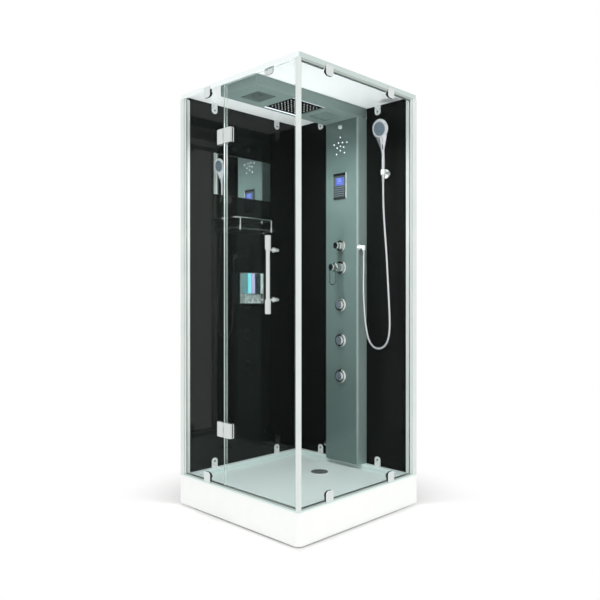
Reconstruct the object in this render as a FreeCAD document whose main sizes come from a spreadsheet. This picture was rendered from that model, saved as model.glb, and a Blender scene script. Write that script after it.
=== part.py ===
"""Steam shower cabin, 900 mm square and 2.2 m tall, for a room corner.

The frame: +Z up, the hinged glass door faces -Y, the fixed side glass faces +X, black glass walls stand
at -X and +Y, and the origin is the middle of the floor under the tray, on the sole of the centre foot.
"""
import FreeCAD, Part
import math
import os
import Sketcher
from FreeCAD import Placement, Rotation, Vector

SIZES = {
    # the whole cabin
    "cabin_width": 900,
    "cabin_depth": 900,
    "cabin_height": 2200,
    # shower tray, its skirt, frame and feet
    "tray_height": 165,
    "tray_lip_height": 8,
    "tray_body_height": 40,
    "tray_rim_width": 58,
    "tray_corner": 30,
    "basin_depth": 25,
    "basin_corner": 60,
    "basin_edge_round": 7,
    "skirt_thickness": 4,
    "skirt_gap": 1,
    "skirt_floor_gap": 6,
    "frame_inset": 45,
    "frame_tube": 25,
    "frame_wall": 2,
    "foot_radius": 22,
    "foot_thickness": 8,
    "foot_rod_radius": 5,
    "locknut_radius": 10,
    "locknut_height": 8,
    # waste
    "drain_y": 165,
    "drain_hole_radius": 45,
    "drain_flange_radius": 52,
    "drain_flange_height": 2,
    "drain_cover_radius": 47.5,
    "drain_cover_height": 5,
    "drain_cover_rest": 0.05,
    "drain_stem_radius": 8,
    "drain_stem_length": 26,
    "trap_wall": 3.5,
    "trap_bottom": 46,
    "waste_pipe_radius": 20,
    "waste_pipe_wall": 2.5,
    "waste_pipe_height": 72,
    "waste_spigot_length": 45,
    "waste_nut_radius": 27,
    "waste_nut_length": 16,
    # glass, walls and corner posts
    "glass_thickness": 6,
    "glass_setback": 7,
    "glass_top_gap": 2,
    "wall_inset": 26,
    "left_profile_width": 30,
    "left_profile_depth": 41,
    "right_profile_width": 45,
    "right_profile_depth": 36,
    "profile_wall": 2.5,
    "channel_width": 15,
    "channel_wall": 2,
    "channel_slot_depth": 12,
    "post_side": 20,
    "post_wall": 1.8,
    "post_round": 3,
    "corner_leg": 44,
    "corner_leg_thickness": 4,
    "sill_width": 20,
    "sill_height": 8,
    "top_rail_height": 12,
    # roof
    "roof_overhang": 1.5,
    "roof_rim_depth": 24,
    "roof_rim_thickness": 6,
    "roof_thickness": 10,
    "roof_corner": 18,
    # door, hinges and handle
    "hinge_axis_x": -73.5,
    "hinge_axis_proud": 5,
    "hinge_plate_width": 46,
    "hinge_plate_height": 75,
    "hinge_plate_thickness": 10,
    "hinge_inner_plate": 6,
    "hinge_knuckle_radius": 6,
    "hinge_knuckle_gap": 1,
    "hinge_pin_radius": 3,
    "hinge_running_clearance": 0.05,
    "hinge_plate_round": 3,
    "upper_hinge_drop": 255,
    "lower_hinge_height": 452,
    "pane_hinge_gap": 10.5,
    "door_top_gap": 18,
    "door_bottom_gap": 7,
    "door_post_gap": 12,
    "seal_running_gap": 0.5,
    "handle_x": 283,
    "handle_stand_off": 37,
    "handle_low": 1037,
    "handle_high": 1395,
    "handle_radius": 9.5,
    "handle_sleeve_radius": 14,
    "handle_sleeve_length": 65,
    "handle_mount_radius": 7,
    "handle_washer_radius": 13,
    "handle_washer_thickness": 4,
    "handle_bolt_radius": 5,
    "handle_knob_radius": 16,
    "handle_knob_length": 20,
    "hinge_bolt_reach": 32,
    "hinge_bolt_rise": 22,
    # clamps on the glass, clips on the walls
    "clamp_width": 52,
    "clamp_height": 54,
    "clamp_thickness": 9,
    "clamp_round": 16,
    "clamp_jaw_thickness": 3,
    "clamp_near": -247,
    "clamp_far": 221,
    "clamp_front_x": -213,
    "clamp_bolt_radius": 4,
    "clamp_nut_radius": 9,
    "clamp_nut_length": 12,
    "clamp_bolt_rise": 26,
    "stop_x": 240,
    "stop_width": 60,
    "stop_height": 42,
    "stop_thickness": 4,
    "stop_gap": 0.4,
    "bolt_clearance": 0.5,
    "clip_width": 40,
    "clip_height": 52,
    "clip_thickness": 3,
    "clip_flange": 26,
    "clip_flange_round": 14,
    "clip_screw_radius": 5,
    "clip_screw_height": 3,
    "clip_screw_rise": 34,
    "left_clip_near": -241,
    "left_clip_far": 234,
    "back_clip_left": -232,
    "back_clip_right": 206,
    # control column and ceiling box
    "column_x": -12,
    "column_depth": 65,
    "column_front_half": 122,
    "column_back_half": 137,
    "column_wall": 3,
    "column_round": 14,
    "column_flange": 15,
    "ceiling_box_depth": 55,
    "ceiling_box_front": 38,
    "ceiling_box_round": 8,
    "module_lap": 6,
    "module_gap": 0.5,
    "module_flange": 3,
    "vent_half_width": 67.5,
    "vent_half_length": 63,
    "vent_inset": 134,
    "vent_slat": 4,
    "rain_recess_half_width": 110,
    "rain_recess_half_length": 122,
    "rain_head_half_width": 102,
    "rain_head_y": -18,
    "rain_head_thickness": 10,
    "nozzle_radius": 3,
    "nozzle_length": 2.5,
    "nozzle_pitch": 24,
    "light_bar_width": 6,
    "lamp_half_width": 67.5,
    "lamp_half_length": 69,
    "lamp_y": 224,
    "lamp_thickness": 6,
    "fan_radius": 46,
    "fan_hub_radius": 12,
    "fan_height": 14,
    "fan_blade_thickness": 2,
    "fan_clearance": 4,
    "fan_wall": 3,
    "fan_shaft_radius": 3,
    "fan_rise": 8,
    "rain_pipe_radius": 6,
    "rain_pipe_rise": 17,
    # what the column carries
    "lights_offset": -5,
    "dome_drop": 34,
    "dome_radius": 11,
    "led_radius": 3,
    "led_proud": 1.2,
    "speaker_radius": 38,
    "speaker_depth": 24,
    "speaker_drop": 145,
    "panel_drop": 378,
    "panel_half_width": 47,
    "panel_half_height": 75,
    "panel_proud": 6,
    "panel_round": 6,
    "screen_half_width": 28,
    "screen_half_height": 23,
    "screen_depth": 2.5,
    "screen_rise": 30,
    "diverter_height": 1412,
    "diverter_plate_radius": 35,
    "mixer_height": 1286,
    "mixer_plate_radius": 41,
    "plate_thickness": 9,
    "cartridge_radius": 20,
    "cartridge_depth": 40,
    "knob_radius": 20,
    "knob_length": 38,
    "knob_gap": 0.4,
    "knob_spindle_radius": 6,
    "barrel_radius": 25,
    "barrel_nose_radius": 20,
    "barrel_length": 79,
    "barrel_spindle_radius": 10,
    "spindle_length": 24,
    "running_clearance": 0.05,
    "loop_wire_radius": 3.2,
    "loop_drop": 76,
    "loop_gap": 0.4,
    "loop_pivot_radius": 3.5,
    "loop_pivot_depth": 6,
    "loop_setback": 16,
    "jet_height": 865,
    "jet_pitch": 206,
    "jet_ring_radius": 41,
    "jet_ring_proud": 12,
    "jet_ball_radius": 29,
    "jet_gap": 0.08,
    "jet_cup_wall": 3,
    "jet_cup_depth": 28,
    "pipe_radius": 8,
    "branch_radius": 5,
    "inlet_radius": 10.5,
    "inlet_length": 20,
    "inlet_spread": 75,
    "inlet_depth": 24,
    "generator_half_width": 80,
    "generator_depth": 44,
    "generator_high": 560,
    "steam_pipe_radius": 7,
    "steam_pipe_height": 240,
    "steam_cap_radius": 14,
    # hose, elbow, handset and holder
    "hose_diameter": 12,
    "hose_stand_off": 54,
    "elbow_reach": 40,
    "elbow_insert": 26,
    "elbow_height": 1398,
    "elbow_radius": 9,
    "elbow_collar_radius": 15,
    "elbow_drop": 20,
    "handset_edge_gap": 119,
    "handset_foot_drop": 420,
    "handset_shank_radius": 9.5,
    "handset_shank_length": 42,
    "handset_grip_radius": 10.5,
    "handset_grip_length": 104,
    "handset_neck_radius": 9,
    "handset_throat_radius": 11,
    "handset_blade": 12,
    "handset_blade_stop": 20,
    "handset_head_radius": 53,
    "handset_head_depth": 20,
    "handset_head_rise": 260,
    "handset_head_reach": 34,
    "handset_head_tilt": 12,
    "holder_wall": 4,
    "holder_height": 26,
    "holder_gap": 0.05,
    "holder_arm_radius": 8,
    "holder_flange_radius": 25,
    "holder_flange_thickness": 6,
    "holder_flange_offset": 22,
    # mirror, shelf and soap dispenser on the left wall
    "mirror_near": -249,
    "mirror_far": 200,
    "mirror_low": 1690,
    "mirror_high": 1920,
    "mirror_thickness": 5,
    "shelf_near": -185,
    "shelf_far": 115,
    "shelf_depth": 122,
    "shelf_height": 1500,
    "shelf_glass": 6,
    "rail_rise": 60,
    "rail_radius": 3.5,
    "rail_corner": 30,
    "rail_bow": 8,
    "rail_post_near": -148,
    "rail_post_far": 86,
    "rail_foot_radius": 6,
    "rail_foot_length": 24,
    "rosette_radius": 10,
    "rosette_thickness": 4,
    "dispenser_near": -56,
    "dispenser_far": 68,
    "dispenser_low": 1077,
    "dispenser_high": 1252,
    "dispenser_depth": 70,
    "dispenser_wall": 3,
    "dispenser_base_height": 44,
    "chamber_gap": 0.5,
    "lid_thickness": 3,
    "lid_gap": 0.4,
    "lid_barrel_radius": 2.5,
    "lid_pin_radius": 1.2,
    "button_radius": 9,
    "button_proud": 8,
    "button_travel": 5,
    "button_stem_radius": 3,
    "button_stem_length": 18,
}

doc = FreeCAD.newDocument("SteamShowerCabin")
sheet = doc.addObject("Spreadsheet::Sheet", "Sizes")
for row, (alias, millimetres) in enumerate(SIZES.items(), start=1):
    sheet.set(f"A{row}", alias.replace("_", " "))
    sheet.set(f"B{row}", str(millimetres))
    sheet.setAlias(f"B{row}", alias)
doc.recompute()


class Length:
    """A length worked out from the sheet: the formula that an object is bound to, and what it comes to."""

    def __init__(self, formula, value):
        self.formula = formula
        self.value = value

    def __add__(self, other):
        other = length(other)
        return Length(f"({self.formula} + {other.formula})", self.value + other.value)

    def __sub__(self, other):
        other = length(other)
        return Length(f"({self.formula} - {other.formula})", self.value - other.value)

    def __mul__(self, factor):
        return Length(f"({self.formula} * {factor})", self.value * factor)

    def __truediv__(self, divisor):
        return Length(f"({self.formula} / {divisor})", self.value / divisor)

    def __neg__(self):
        return Length(f"(0 - {self.formula})", -self.value)

    def __radd__(self, other):
        return length(other) + self

    def __rsub__(self, other):
        return length(other) - self


def length(thing):
    """A plain number as a Length, and a Length as it is."""
    if isinstance(thing, Length):
        return thing
    return Length(f"({float(thing)})", float(thing))


class Cells:
    """The sheet's cells by alias, each as a Length."""

    def __getattr__(self, alias):
        return Length("Sizes." + alias, float(sheet.get(alias)))


dim = Cells()
ORIGIN_PLANES = {"xy": ("XY_Plane", 1), "xz": ("XZ_Plane", -1), "yz": ("YZ_Plane", 1)}
TURNS = {
    "+z": Rotation(),
    "-z": Rotation(Vector(1, 0, 0), 180),
    "+x": Rotation(Vector(0, 1, 0), 90),
    "-x": Rotation(Vector(0, 1, 0), -90),
    "+y": Rotation(Vector(1, 0, 0), -90),
    "-y": Rotation(Vector(1, 0, 0), 90),
}
OUTWARD = {"-y": 180, "+x": -90, "-x": 90, "+y": 0}


# ---- helpers -------------------------------------------------------------------------------------
def put(piece, place, turn=None):
    """Turns a piece and binds its place to three lengths."""
    if turn is not None:
        piece.Placement = Placement(Vector(), turn)
    for axis, distance in zip("xyz", place):
        piece.setExpression("Placement.Base." + axis, length(distance).formula)
    return piece


def block(label, low, high):
    """A box between two corners."""
    piece = doc.addObject("Part::Box", label)
    for side, near, far in zip(("Length", "Width", "Height"), low, high):
        piece.setExpression(side, (length(far) - near).formula)
    return put(piece, low)


def rod(label, foot, along, radius, reach):
    """A round bar that starts at foot and runs along one axis."""
    piece = doc.addObject("Part::Cylinder", label)
    piece.setExpression("Radius", length(radius).formula)
    piece.setExpression("Height", length(reach).formula)
    return put(piece, foot, TURNS[along])


def ball(label, centre, radius):
    piece = doc.addObject("Part::Sphere", label)
    piece.setExpression("Radius", radius.formula)
    return put(piece, centre)


def join(label, *pieces):
    """One solid from pieces that overlap or touch."""
    whole = doc.addObject("Part::MultiFuse", label)
    whole.Shapes = list(pieces)
    whole.Refine = True
    return whole


def cut(label, piece, *tools):
    """A piece less its tools."""
    whole = doc.addObject("Part::Cut", label)
    whole.Base = piece
    whole.Tool = tools[0] if len(tools) == 1 else join(label + "_tools", *tools)
    return whole


def group(label, *pieces):
    """Separate solids that make one sub-part."""
    whole = doc.addObject("Part::Compound", label)
    whole.Links = list(pieces)
    return whole


def sketch_on(body, plane, offset):
    """An empty sketch on one of the body's own origin planes, moved along that plane's axis."""
    role, normal = ORIGIN_PLANES[plane]
    sketch = body.newObject("Sketcher::SketchObject", body.Name + "_sketch")
    support = next(feature for feature in body.Origin.OriginFeatures if feature.Role == role)
    sketch.AttachmentSupport = [(support, "")]
    sketch.MapMode = "FlatFace"
    sketch.setExpression("AttachmentOffset.Base.z", (length(offset) * normal).formula)
    return sketch


def fix_point(sketch, geometry, position, place):
    """Holds a point of a sketch at its two distances from the sketch's origin."""
    for kind, distance in zip(("DistanceX", "DistanceY"), place):
        rule = Sketcher.Constraint(kind, -1, 1, geometry, position, distance.value)
        number = sketch.addConstraint(rule)
        sketch.setExpression(f"Constraints[{number}]", distance.formula)


def draw_outline(sketch, points):
    """A closed outline of straight lines through points."""
    corners = [(length(across), length(up)) for across, up in points]
    first = sketch.GeometryCount
    for (across, up), (next_across, next_up) in zip(corners, corners[1:] + corners[:1]):
        start = Vector(across.value, up.value, 0)
        end = Vector(next_across.value, next_up.value, 0)
        sketch.addGeometry(Part.LineSegment(start, end), False)
    for index, corner in enumerate(corners):
        following = first + (index + 1) % len(corners)
        sketch.addConstraint(Sketcher.Constraint("Coincident", first + index, 2, following, 1))
        fix_point(sketch, first + index, 1, corner)


def draw_circle(sketch, centre, radius):
    across, up = length(centre[0]), length(centre[1])
    circle = Part.Circle(Vector(across.value, up.value, 0), Vector(0, 0, 1), radius.value)
    number = sketch.addGeometry(circle, False)
    fix_point(sketch, number, 3, (across, up))
    rule = sketch.addConstraint(Sketcher.Constraint("Radius", number, radius.value))
    sketch.setExpression(f"Constraints[{rule}]", radius.formula)


def new_body(label):
    return doc.addObject("PartDesign::Body", label)


def pad(body, plane, start, end, points):
    """Adds an outline's solid between two levels of the plane's axis."""
    sketch = sketch_on(body, plane, end if plane == "xz" else start)
    draw_outline(sketch, points)
    feature = body.newObject("PartDesign::Pad", body.Name + "_pad")
    feature.Profile = sketch
    feature.setExpression("Length", (length(end) - start).formula)
    return feature


def pocket(body, plane, start, end, points=(), circles=()):
    """Takes outlines or circles out of the body between two levels of the plane's axis."""
    doc.recompute()
    before = body.Shape.Volume
    sketch = sketch_on(body, plane, start if plane == "xz" else end)
    for outline in points:
        draw_outline(sketch, outline)
    for centre, radius in circles:
        draw_circle(sketch, centre, radius)
    feature = body.newObject("PartDesign::Pocket", body.Name + "_pocket")
    feature.Profile = sketch
    feature.setExpression("Length", (length(end) - start).formula)
    doc.recompute()
    if not body.Shape.Volume < before:
        raise RuntimeError(f"a pocket in {body.Label} cuts nothing")
    return feature


def round_edges(body, radius, chosen):
    """Rounds the edges of the body's last feature that the test chosen accepts."""
    doc.recompute()
    base = body.Tip
    edges = [f"Edge{number}" for number, edge in enumerate(base.Shape.Edges, start=1) if chosen(edge)]
    if not edges:
        raise RuntimeError(f"no edge to round on {body.Label}")
    fillet = body.newObject("PartDesign::Fillet", body.Name + "_round")
    fillet.Base = (base, edges)
    fillet.setExpression("Radius", length(radius).formula)
    return fillet


def runs_along(axis, *places):
    """A test for edges along an axis, at any of the given places on the other two axes."""
    others = [name for name in "xyz" if name != axis]
    wanted = [tuple(length(distance).value for distance in place) for place in places]

    def chosen(edge):
        ends = [edge.Vertexes[0].Point, edge.Vertexes[-1].Point]
        if any(abs(getattr(ends[0], name) - getattr(ends[1], name)) > 0.01 for name in others):
            return False
        if abs(getattr(ends[0], axis) - getattr(ends[1], axis)) < 0.01:
            return False
        here = tuple(getattr(ends[0], name) for name in others)
        return any(math.dist(here, place) < 0.01 for place in wanted)

    return chosen


def lies_at(axis, level):
    """A test for edges that lie flat at one level of an axis."""
    wanted = length(level).value

    def chosen(edge):
        box = edge.BoundBox
        low, high = getattr(box, axis.upper() + "Min"), getattr(box, axis.upper() + "Max")
        return abs(low - wanted) < 0.01 and abs(high - wanted) < 0.01

    return chosen


def rectangle(low_across, low_up, high_across, high_up):
    return [(low_across, low_up), (high_across, low_up), (high_across, high_up), (low_across, high_up)]


def turned(label, foot, along, outline):
    """A body turned on a lathe: its outline gives radius and height, and it stands at foot along an axis."""
    body = new_body(label)
    sketch = sketch_on(body, "xz", 0)
    draw_outline(sketch, outline)
    feature = body.newObject("PartDesign::Revolution", label + "_turned")
    feature.Profile = sketch
    feature.ReferenceAxis = (sketch, ["V_Axis"])
    feature.Angle = 360
    return put(body, foot, TURNS[along])


def path_wire(points, arc_share=0.45, radius=None):
    """Straight runs joined by tangent arcs, as large as the runs allow unless a radius is given."""
    edges = []
    radii = []
    start = points[0]
    for before, corner, after in zip(points, points[1:], points[2:]):
        back, on = (before - corner), (after - corner)
        half_turn = (math.pi - back.getAngle(on)) / 2
        reach = arc_share * min(back.Length, on.Length)
        if radius is not None:
            reach = min(reach, radius * math.tan(half_turn))
        bend = reach / math.tan(half_turn)
        radii.append(bend)
        back.normalize()
        on.normalize()
        arc_start = corner + back * reach
        arc_end = corner + on * reach
        inward = (back + on).normalize()
        middle = corner + inward * (bend / math.cos(half_turn) - bend)
        edges.append(Part.LineSegment(start, arc_start).toShape())
        edges.append(Part.Arc(arc_start, middle, arc_end).toShape())
        start = arc_end
    edges.append(Part.LineSegment(start, points[-1]).toShape())
    return Part.Wire(edges), radii


def swept_tube(label, points, radius, bend=None):
    """A round bar along a path, checked against its section times its length."""
    wire, radii = path_wire(points, radius=bend)
    tangent = points[1] - points[0]
    section = Part.Wire(Part.makeCircle(radius, points[0], tangent))
    solid = wire.makePipeShell([section], True, False)
    wanted = math.pi * radius**2 * wire.Length
    if abs(solid.Volume - wanted) > 0.01 * wanted:
        raise RuntimeError(f"{label} has volume {solid.Volume:.0f}, not {wanted:.0f}")
    print(f"{label}: length {wire.Length:.0f} mm, bend radii", [round(bend_radius) for bend_radius in radii])
    piece = doc.addObject("Part::Feature", label)
    piece.Shape = solid
    return piece


# ---- planes that the pieces share ----------------------------------------------------------------
left, right = -dim.cabin_width / 2, dim.cabin_width / 2
front, back = -dim.cabin_depth / 2, dim.cabin_depth / 2
top = dim.cabin_height
rim = dim.tray_height
roof_low = top - dim.roof_rim_depth
ceiling = top - dim.roof_thickness
basin_floor = rim - dim.basin_depth
tray_low = rim - dim.tray_body_height
lip_low = rim - dim.tray_lip_height
front_glass_face = front + dim.glass_setback
front_glass_back = front_glass_face + dim.glass_thickness
side_glass_face = right - dim.glass_setback
side_glass_back = side_glass_face - dim.glass_thickness
sill_top = rim + dim.sill_height
glass_top = ceiling - dim.glass_top_gap
left_wall = left + dim.wall_inset
back_wall = back - dim.wall_inset
left_profile_edge = left + dim.left_profile_width
right_profile_edge = right - dim.right_profile_width
right_profile_front = back - dim.right_profile_depth
post_x = right - dim.post_side
post_y = front + dim.post_side
column_front = back_wall - dim.column_depth
column_back = back_wall + dim.glass_thickness
column_high = ceiling - dim.ceiling_box_depth
sides = (-1, 1)


# ---- tray, skirt, frame and feet -----------------------------------------------------------------
def tray():
    body = new_body("tray")
    inset = dim.skirt_thickness + dim.skirt_gap
    low_outline = rectangle(left + inset, front + inset, right - inset, back - inset)
    pad(body, "xy", tray_low, lip_low, low_outline)
    round_edges(body, dim.tray_corner - inset, runs_along("z", (right - inset, front + inset)))
    pad(body, "xy", lip_low, rim, rectangle(left, front, right, back))
    edge = dim.tray_rim_width
    basin = rectangle(left + edge, front + edge, right - edge, back - edge)
    pocket(body, "xy", basin_floor, rim, points=[basin])
    round_edges(body, dim.basin_corner, runs_along("z", *basin))
    pocket(body, "xy", tray_low, basin_floor, circles=[((0, dim.drain_y), dim.drain_hole_radius)])
    round_edges(body, dim.tray_corner, runs_along("z", (right, front)))
    doc.recompute()
    outer = max(right.value, back.value) - 1

    def basin_top(edge_curve):
        box = edge_curve.BoundBox
        flat = lies_at("z", rim)(edge_curve)
        return flat and max(abs(box.XMin), abs(box.XMax), abs(box.YMin), abs(box.YMax)) < outer

    round_edges(body, dim.basin_edge_round, basin_top)


def tray_skirt():
    body = new_body("tray_skirt")
    inner_x, inner_y = right - dim.skirt_thickness, front + dim.skirt_thickness
    outline = [(left, front), (right, front), (right, back), (inner_x, back), (inner_x, inner_y), (left, inner_y)]
    pad(body, "xy", dim.skirt_floor_gap, lip_low, outline)
    round_edges(body, dim.tray_corner, runs_along("z", (right, front)))
    round_edges(body, dim.tray_corner - dim.skirt_thickness, runs_along("z", (inner_x, inner_y)))


def square_tube(label, low, high, along):
    """A steel tube with open ends between two corners."""
    wall = dim.frame_wall
    inner_low = [place if axis == along else place + wall for axis, place in zip("xyz", low)]
    inner_high = [place if axis == along else place - wall for axis, place in zip("xyz", high)]
    return cut(label, block(label + "_outside", low, high), block(label + "_inside", inner_low, inner_high))


frame_x, frame_y = right - dim.frame_inset, back - dim.frame_inset
frame_low = tray_low - dim.frame_tube


def tray_frame():
    side = dim.frame_tube
    tubes = []
    for name, low_y in (("front", -frame_y), ("back", frame_y - side)):
        low, high = (-frame_x, low_y, frame_low), (frame_x, low_y + side, tray_low)
        tubes.append(square_tube(f"{name}_tube", low, high, "x"))
    for name, low_x in (("left", -frame_x), ("right", frame_x - side)):
        low, high = (low_x, side - frame_y, frame_low), (low_x + side, frame_y - side, tray_low)
        tubes.append(square_tube(f"{name}_tube", low, high, "y"))
    low, high = (side - frame_x, -side / 2, frame_low), (frame_x - side, side / 2, tray_low)
    tubes.append(square_tube("centre_tube", low, high, "x"))
    group("tray_frame", *tubes)


def adjustable_feet():
    """Four corner feet and one in the middle, each a threaded foot with its locknut."""
    reach_x, reach_y = frame_x - dim.frame_tube / 2, frame_y - dim.frame_tube / 2
    places = [(0, 0)] + [(reach_x * x, reach_y * y) for x in sides for y in sides]
    feet = []
    for number, (x, y) in enumerate(places):
        pad_disc = rod(f"foot_{number}_pad", (x, y, 0), "+z", dim.foot_radius, dim.foot_thickness)
        stud = rod(f"foot_{number}_stud", (x, y, 0), "+z", dim.foot_rod_radius, frame_low)
        feet.append(join(f"foot_{number}", pad_disc, stud))
        nut = doc.addObject("Part::Prism", f"foot_{number}_nut_blank")
        nut.Polygon = 6
        nut.setExpression("Circumradius", dim.locknut_radius.formula)
        nut.setExpression("Height", dim.locknut_height.formula)
        put(nut, (x, y, frame_low - dim.locknut_height))
        thread = rod(f"foot_{number}_thread", (x, y, 0), "+z", dim.foot_rod_radius + 0.05, frame_low)
        feet.append(cut(f"foot_{number}_nut", nut, thread))
    group("adjustable_feet", *feet)


# ---- waste ---------------------------------------------------------------------------------------
def drain_trap():
    """The flange on the basin floor, the cup that hangs through the tray and the pipe to the back wall."""
    y = dim.drain_y
    cup_radius = dim.drain_hole_radius - 0.5
    bore = cup_radius - dim.trap_wall
    flange_top = basin_floor + dim.drain_flange_height
    flange = rod("trap_flange", (0, y, basin_floor), "+z", dim.drain_flange_radius, dim.drain_flange_height)
    cup = rod("trap_cup", (0, y, dim.trap_bottom), "+z", cup_radius, basin_floor - dim.trap_bottom)
    pipe_end = back - dim.waste_spigot_length
    pipe_foot = (0, y, dim.waste_pipe_height)
    pipe = rod("trap_pipe", pipe_foot, "+y", dim.waste_pipe_radius, back - y)
    nut_foot = (0, pipe_end - dim.waste_nut_length, dim.waste_pipe_height)
    nut = rod("trap_nut", nut_foot, "+y", dim.waste_nut_radius, dim.waste_nut_length)
    outside = join("trap_outside", flange, cup, pipe, nut)
    hollow_low = dim.trap_bottom + dim.trap_wall
    hollow = rod("trap_hollow", (0, y, hollow_low), "+z", bore, flange_top - hollow_low + 1)
    pipe_bore = rod("trap_bore", pipe_foot, "+y", dim.waste_pipe_radius - dim.waste_pipe_wall, back - y + 1)
    cut("drain_trap", outside, hollow, pipe_bore)


def drain_cover():
    """A domed cover that lifts out of the flange by hand."""
    low = basin_floor + dim.drain_flange_height + dim.drain_cover_rest
    rim_height = dim.drain_cover_height * 0.4
    shoulder = dim.drain_cover_radius * 0.7
    outline = [
        (0, -dim.drain_stem_length),
        (dim.drain_stem_radius, -dim.drain_stem_length),
        (dim.drain_stem_radius, 0),
        (dim.drain_cover_radius, 0),
        (dim.drain_cover_radius, rim_height),
        (shoulder, dim.drain_cover_height * 0.8),
        (0, dim.drain_cover_height),
    ]
    turned("drain_cover", (0, dim.drain_y, low), "+z", outline)


# ---- walls, posts and fixed glass ----------------------------------------------------------------
def wall_panels():
    thick = dim.glass_thickness
    panel_front = front + dim.left_profile_depth
    block("left_wall_panel", (left_wall - thick, panel_front, rim), (left_wall, column_back, ceiling))
    column_edge = dim.column_back_half + 0.5
    column_left, column_right = dim.column_x - column_edge, dim.column_x + column_edge
    near = block("back_wall_left", (left_wall, back_wall, rim), (column_left, column_back, ceiling))
    far = block("back_wall_right", (column_right, back_wall, rim), (right_profile_edge, column_back, ceiling))
    group("back_wall_panels", near, far)


def rear_corner_profile():
    """An angle that holds the two glass walls together from outside."""
    body = new_body("rear_corner_profile")
    face_x, face_y = left_wall - dim.glass_thickness, column_back
    outer_x, outer_y = face_x - dim.corner_leg_thickness, face_y + dim.corner_leg_thickness
    far_x, far_y = outer_x + dim.corner_leg, outer_y - dim.corner_leg
    outline = [
        (outer_x, far_y),
        (face_x, far_y),
        (face_x, face_y),
        (far_x, face_y),
        (far_x, outer_y),
        (outer_x, outer_y),
    ]
    pad(body, "xy", rim, ceiling, outline)


def hollow_profile(label, low_x, low_y, high_x, high_y, high_z, wall):
    body = new_body(label)
    pad(body, "xy", rim, high_z, rectangle(low_x, low_y, high_x, high_y))
    inside = rectangle(low_x + wall, low_y + wall, high_x - wall, high_y - wall)
    pocket(body, "xy", rim, high_z, points=[inside])
    return body


def end_profiles():
    """The tall cover profile at each end of the glass, with the channel that the pane stands in."""
    wall, reach = dim.channel_wall, dim.channel_width
    blind = reach - dim.channel_slot_depth
    name = "left_end_cover"
    high_x, high_y = left_profile_edge, front + dim.left_profile_depth
    cover = hollow_profile(name, left, front, high_x, high_y, roof_low, dim.profile_wall)
    low = (left_profile_edge, front_glass_face - wall, rim)
    high = (left_profile_edge + reach, front_glass_back + wall, roof_low)
    slot_low = (left_profile_edge + blind, front_glass_face, rim)
    slot_high = (left_profile_edge + reach, front_glass_back, roof_low)
    channel = cut("left_channel", block("left_channel_bar", low, high), block("left_slot", slot_low, slot_high))
    group("left_end_profile", cover, channel)

    name = "right_end_cover"
    cover = hollow_profile(name, right_profile_edge, right_profile_front, right, back, roof_low, dim.profile_wall)
    low = (side_glass_back - wall, right_profile_front - reach, rim)
    high = (side_glass_face + wall, right_profile_front, roof_low)
    slot_low = (side_glass_back, right_profile_front - reach, rim)
    slot_high = (side_glass_face, right_profile_front - blind, roof_low)
    channel = cut("right_channel", block("right_channel_bar", low, high), block("right_slot", slot_low, slot_high))
    group("right_end_profile", cover, channel)


def corner_post():
    body = hollow_profile("corner_post", post_x, front, right, post_y, roof_low, dim.post_wall)
    corners = [(right, front), (post_x, front), (right, post_y)]
    round_edges(body, dim.post_round, runs_along("z", *corners))


def glass_rails():
    """The sill under the front and the side glass, and the rail over the side glass."""
    half = dim.sill_width / 2
    mid_y = front_glass_face + dim.glass_thickness / 2
    mid_x = side_glass_face - dim.glass_thickness / 2
    sill_end = left_profile_edge + dim.channel_width
    side_end = right_profile_front - dim.channel_width
    clear = dim.clamp_width / 2
    x = dim.clamp_front_x
    front_bar = block("front_sill_bar", (sill_end, mid_y - half, rim), (post_x, mid_y + half, sill_top))
    notch = block("front_sill_notch", (x - clear, mid_y - half, rim), (x + clear, front_glass_face, sill_top))
    front_sill = cut("front_sill", front_bar, notch)
    side_bar = block("side_sill_bar", (mid_x - half, post_y, rim), (mid_x + half, side_end, sill_top))
    notches, gaps = [], []
    for name, y in (("near", dim.clamp_near), ("far", dim.clamp_far)):
        low, high = (side_glass_face, y - clear, rim), (mid_x + half, y + clear, sill_top)
        notches.append(block(f"side_sill_notch_{name}", low, high))
        low = (mid_x - half, y - clear, roof_low - dim.top_rail_height)
        gaps.append(block(f"top_rail_gap_{name}", low, (mid_x + half, y + clear, roof_low)))
    side_sill = cut("side_sill", side_bar, *notches)
    low = roof_low - dim.top_rail_height
    bar = block("top_rail_bar", (mid_x - half, post_y, low), (mid_x + half, side_end, roof_low))
    slot_low = (side_glass_back, post_y, low)
    slot_high = (side_glass_face, side_end, roof_low)
    top_rail = cut("top_rail", bar, block("top_rail_slot", slot_low, slot_high), *gaps)
    group("glass_rails", front_sill, side_sill, top_rail)


clamp_low_bolt = rim + dim.clamp_bolt_rise
clamp_high_bolt = ceiling - dim.clamp_bolt_rise
bolt_hole = dim.clamp_bolt_radius + dim.bolt_clearance


def hinge_bolts(side):
    """Where the bolts of one side's hinge halves go through the glass, as x and height."""
    x = dim.hinge_axis_x + dim.hinge_bolt_reach * side
    heights = (upper_hinge_height, dim.lower_hinge_height)
    return [(x, height + dim.hinge_bolt_rise * up) for height in heights for up in sides]


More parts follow.
